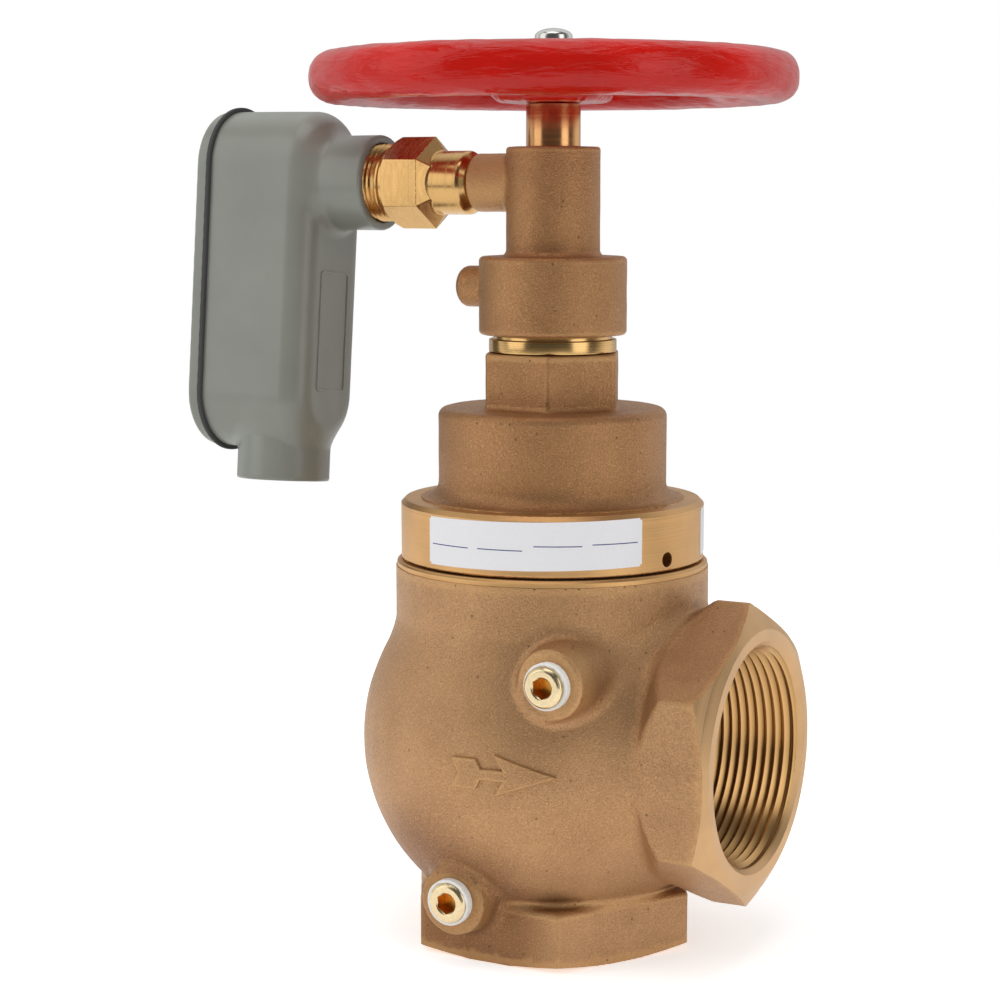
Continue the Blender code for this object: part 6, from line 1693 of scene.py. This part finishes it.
class OBJECT_OT_inner_finishes(ValveOperator, bpy.types.Operator):
    """Gives the CAD pieces that stay their finishes"""

    bl_idname = "object.valve_inner_finishes"
    bl_label = "Inner Finishes"

    def execute(self, context):
        made = finishes()
        by_slot = {
            "cast_bronze": "sand_cast_bronze", "brass": "bright_brass", "zinc_steel": "zinc_plate",
            "red_enamel": "glossy_enamel", "grey_paint": "satin_grey_paint", "black_rubber": "black_rubber",
            "white_tape": "thread_tape", "graphite_packing": "graphite_packing",
            "black_plastic": "moulded_plastic", "red_plastic": "red_moulded_plastic",
        }
        for part in frame["record"]["subparts"]:
            node = frame["nodes"][part["node"]]
            if node.hide_render:
                continue
            for material_slot in node.material_slots:
                material_slot.material = made[by_slot[part["material_slot"]]]
        return {"FINISHED"}


class SCENE_OT_studio(ValveOperator, bpy.types.Operator):
    """Sets up the pale floor, the soft lights and the camera"""

    bl_idname = "scene.valve_studio"
    bl_label = "Studio"

    def execute(self, context):
        scene = context.scene
        build_world(scene)
        build_floor()
        build_lights()
        build_camera(scene)
        scene.view_settings.view_transform = "Standard"
        return {"FINISHED"}


def seen_directly(tree):
    """1 for what the camera, glass or metal shows, 0 for light on the object."""
    path = add_node(tree, "ShaderNodeLightPath").outputs
    seen = calculate(tree, "MAXIMUM", path["Is Camera Ray"], path["Is Transmission Ray"])
    return calculate(tree, "MAXIMUM", seen, path["Is Glossy Ray"])


def build_world(scene):
    """White all round to the eye; metal shows that white sweep too, but for the dim room in front of it."""
    world = bpy.data.worlds.new("studio_world")
    world.use_nodes = True
    tree = world.node_tree
    tree.nodes.clear()
    towards = add_node(tree, "ShaderNodeTexCoord").outputs["Generated"]
    turn = CAMERA_AZIMUTH + CAMERA_YAW
    backwards = (-math.sin(turn), math.cos(turn), -0.2)
    behind = add_node(tree, "ShaderNodeVectorMath", {0: towards, 1: backwards}, operation="DOT_PRODUCT")
    sides = remap(tree, behind.outputs["Value"], -0.25, 0.4, ROOM_LEVEL, SIDE_LEVEL, smooth=True)
    level = remap(tree, behind.outputs["Value"], 0.5, 0.95, sides, SWEEP_LEVEL, smooth=True)
    eye = add_node(tree, "ShaderNodeLightPath").outputs["Is Camera Ray"]
    shown = add_node(tree, "ShaderNodeMix", {0: eye, 2: level, 3: 1.0})
    light = add_node(tree, "ShaderNodeBackground", {"Color": linear("FFFFFF"), "Strength": ROOM_LIGHT})
    white = add_node(tree, "ShaderNodeBackground", {"Color": linear("FFFFFF"),
                                                    "Strength": shown.outputs[0]})
    mixed = add_node(tree, "ShaderNodeMixShader", {0: seen_directly(tree), 1: light.outputs[0],
                                                   2: white.outputs[0]})
    add_node(tree, "ShaderNodeOutputWorld", {0: mixed.outputs[0]})
    scene.world = world


def build_floor():
    """Plain pale floor that shows white and keeps a faint shadow."""
    bm = bmesh.new()
    bmesh.ops.create_grid(bm, x_segments=1, y_segments=1, size=FLOOR_HALF)
    mesh = bpy.data.meshes.new("floor")
    bm.to_mesh(mesh)
    bm.free()
    material = bpy.data.materials.new("floor_paper")
    material.use_nodes = True
    tree = material.node_tree
    tree.nodes.clear()
    paper = add_node(tree, "ShaderNodeBsdfDiffuse", {"Color": linear("F4F4F4")})
    glow = add_node(tree, "ShaderNodeEmission", {"Color": linear("FFFFFF"), "Strength": FLOOR_GLOW})
    both = add_node(tree, "ShaderNodeAddShader", {0: paper.outputs[0], 1: glow.outputs[0]})
    mixed = add_node(tree, "ShaderNodeMixShader", {0: seen_directly(tree), 1: paper.outputs[0],
                                                   2: both.outputs[0]})
    add_node(tree, "ShaderNodeOutputMaterial", {0: mixed.outputs[0]})
    mesh.materials.append(material)
    floor = bpy.data.objects.new("floor", mesh)
    floor.location = (0, 0, -0.2 * MM)
    bpy.context.scene.collection.objects.link(floor)


def build_lights():
    """Soft boxes: a tall one on the left, a weaker one on the right, a wide one overhead."""
    target = Vector((0, 0, 0.16))
    for name, azimuth, distance, height, size, power in LIGHTS:
        angle = math.radians(azimuth)
        data = bpy.data.lights.new(name, "AREA")
        data.shape = "RECTANGLE"
        data.size, data.size_y = size
        data.energy = power
        lamp = bpy.data.objects.new(name, data)
        lamp.location = (distance * math.sin(angle), -distance * math.cos(angle), height)
        lamp.rotation_euler = (target - lamp.location).to_track_quat("-Z", "Y").to_euler()
        bpy.context.scene.collection.objects.link(lamp)


def build_camera(scene):
    """Camera at the photograph's place, height and lens."""
    data = bpy.data.cameras.new("camera")
    data.lens = CAMERA_LENS
    data.sensor_width = SENSOR
    data.sensor_fit = "HORIZONTAL"
    data.clip_start = 0.05
    camera = bpy.data.objects.new("camera", data)
    camera.location = (AXIS_X + CAMERA_DISTANCE * math.sin(CAMERA_AZIMUTH),
                       -CAMERA_DISTANCE * math.cos(CAMERA_AZIMUTH), CAMERA_Z)
    camera.rotation_euler = Euler((math.radians(90) - CAMERA_PITCH, 0, CAMERA_AZIMUTH + CAMERA_YAW))
    scene.collection.objects.link(camera)
    scene.camera = camera


PIECES = (OBJECT_OT_body_casting, OBJECT_OT_pipe_threads, OBJECT_OT_gauge_plugs, OBJECT_OT_bonnet,
          OBJECT_OT_stem, OBJECT_OT_switch_housing, OBJECT_OT_adaptor, OBJECT_OT_conduit_body,
          OBJECT_OT_handwheel, OBJECT_OT_labels, OBJECT_OT_springs, OBJECT_OT_inner_finishes,
          SCENE_OT_studio)


class VIEW3D_PT_valve(bpy.types.Panel):
    """Sizes, colours and build steps of the valve"""

    bl_label = "Fire Hose Valve"
    bl_idname = "VIEW3D_PT_valve"
    bl_space_type = "VIEW_3D"
    bl_region_type = "UI"
    bl_category = "Valve"

    def draw(self, context):
        for operator in PIECES:
            self.layout.operator(operator.bl_idname)
        for group in (context.scene.valve_sizes, context.scene.valve_colours):
            box = self.layout.box()
            for name in group.__annotations__:
                box.prop(group, name)


CLASSES = (ValveSizes, ValveColours, *PIECES, VIEW3D_PT_valve)


def register():
    """Registers the classes and hangs the settings on the scene."""
    for item in CLASSES:
        bpy.utils.register_class(item)
    bpy.types.Scene.valve_sizes = bpy.props.PointerProperty(type=ValveSizes)
    bpy.types.Scene.valve_colours = bpy.props.PointerProperty(type=ValveColours)


def unregister():
    """Takes the settings and the classes away again."""
    del bpy.types.Scene.valve_colours
    del bpy.types.Scene.valve_sizes
    for item in reversed(CLASSES):
        bpy.utils.unregister_class(item)


def main():
    """Builds every piece in order."""
    register()
    for operator in PIECES:
        group, name = operator.bl_idname.split(".")
        getattr(getattr(bpy.ops, group), name)()


if __name__ == "__main__":
    main()
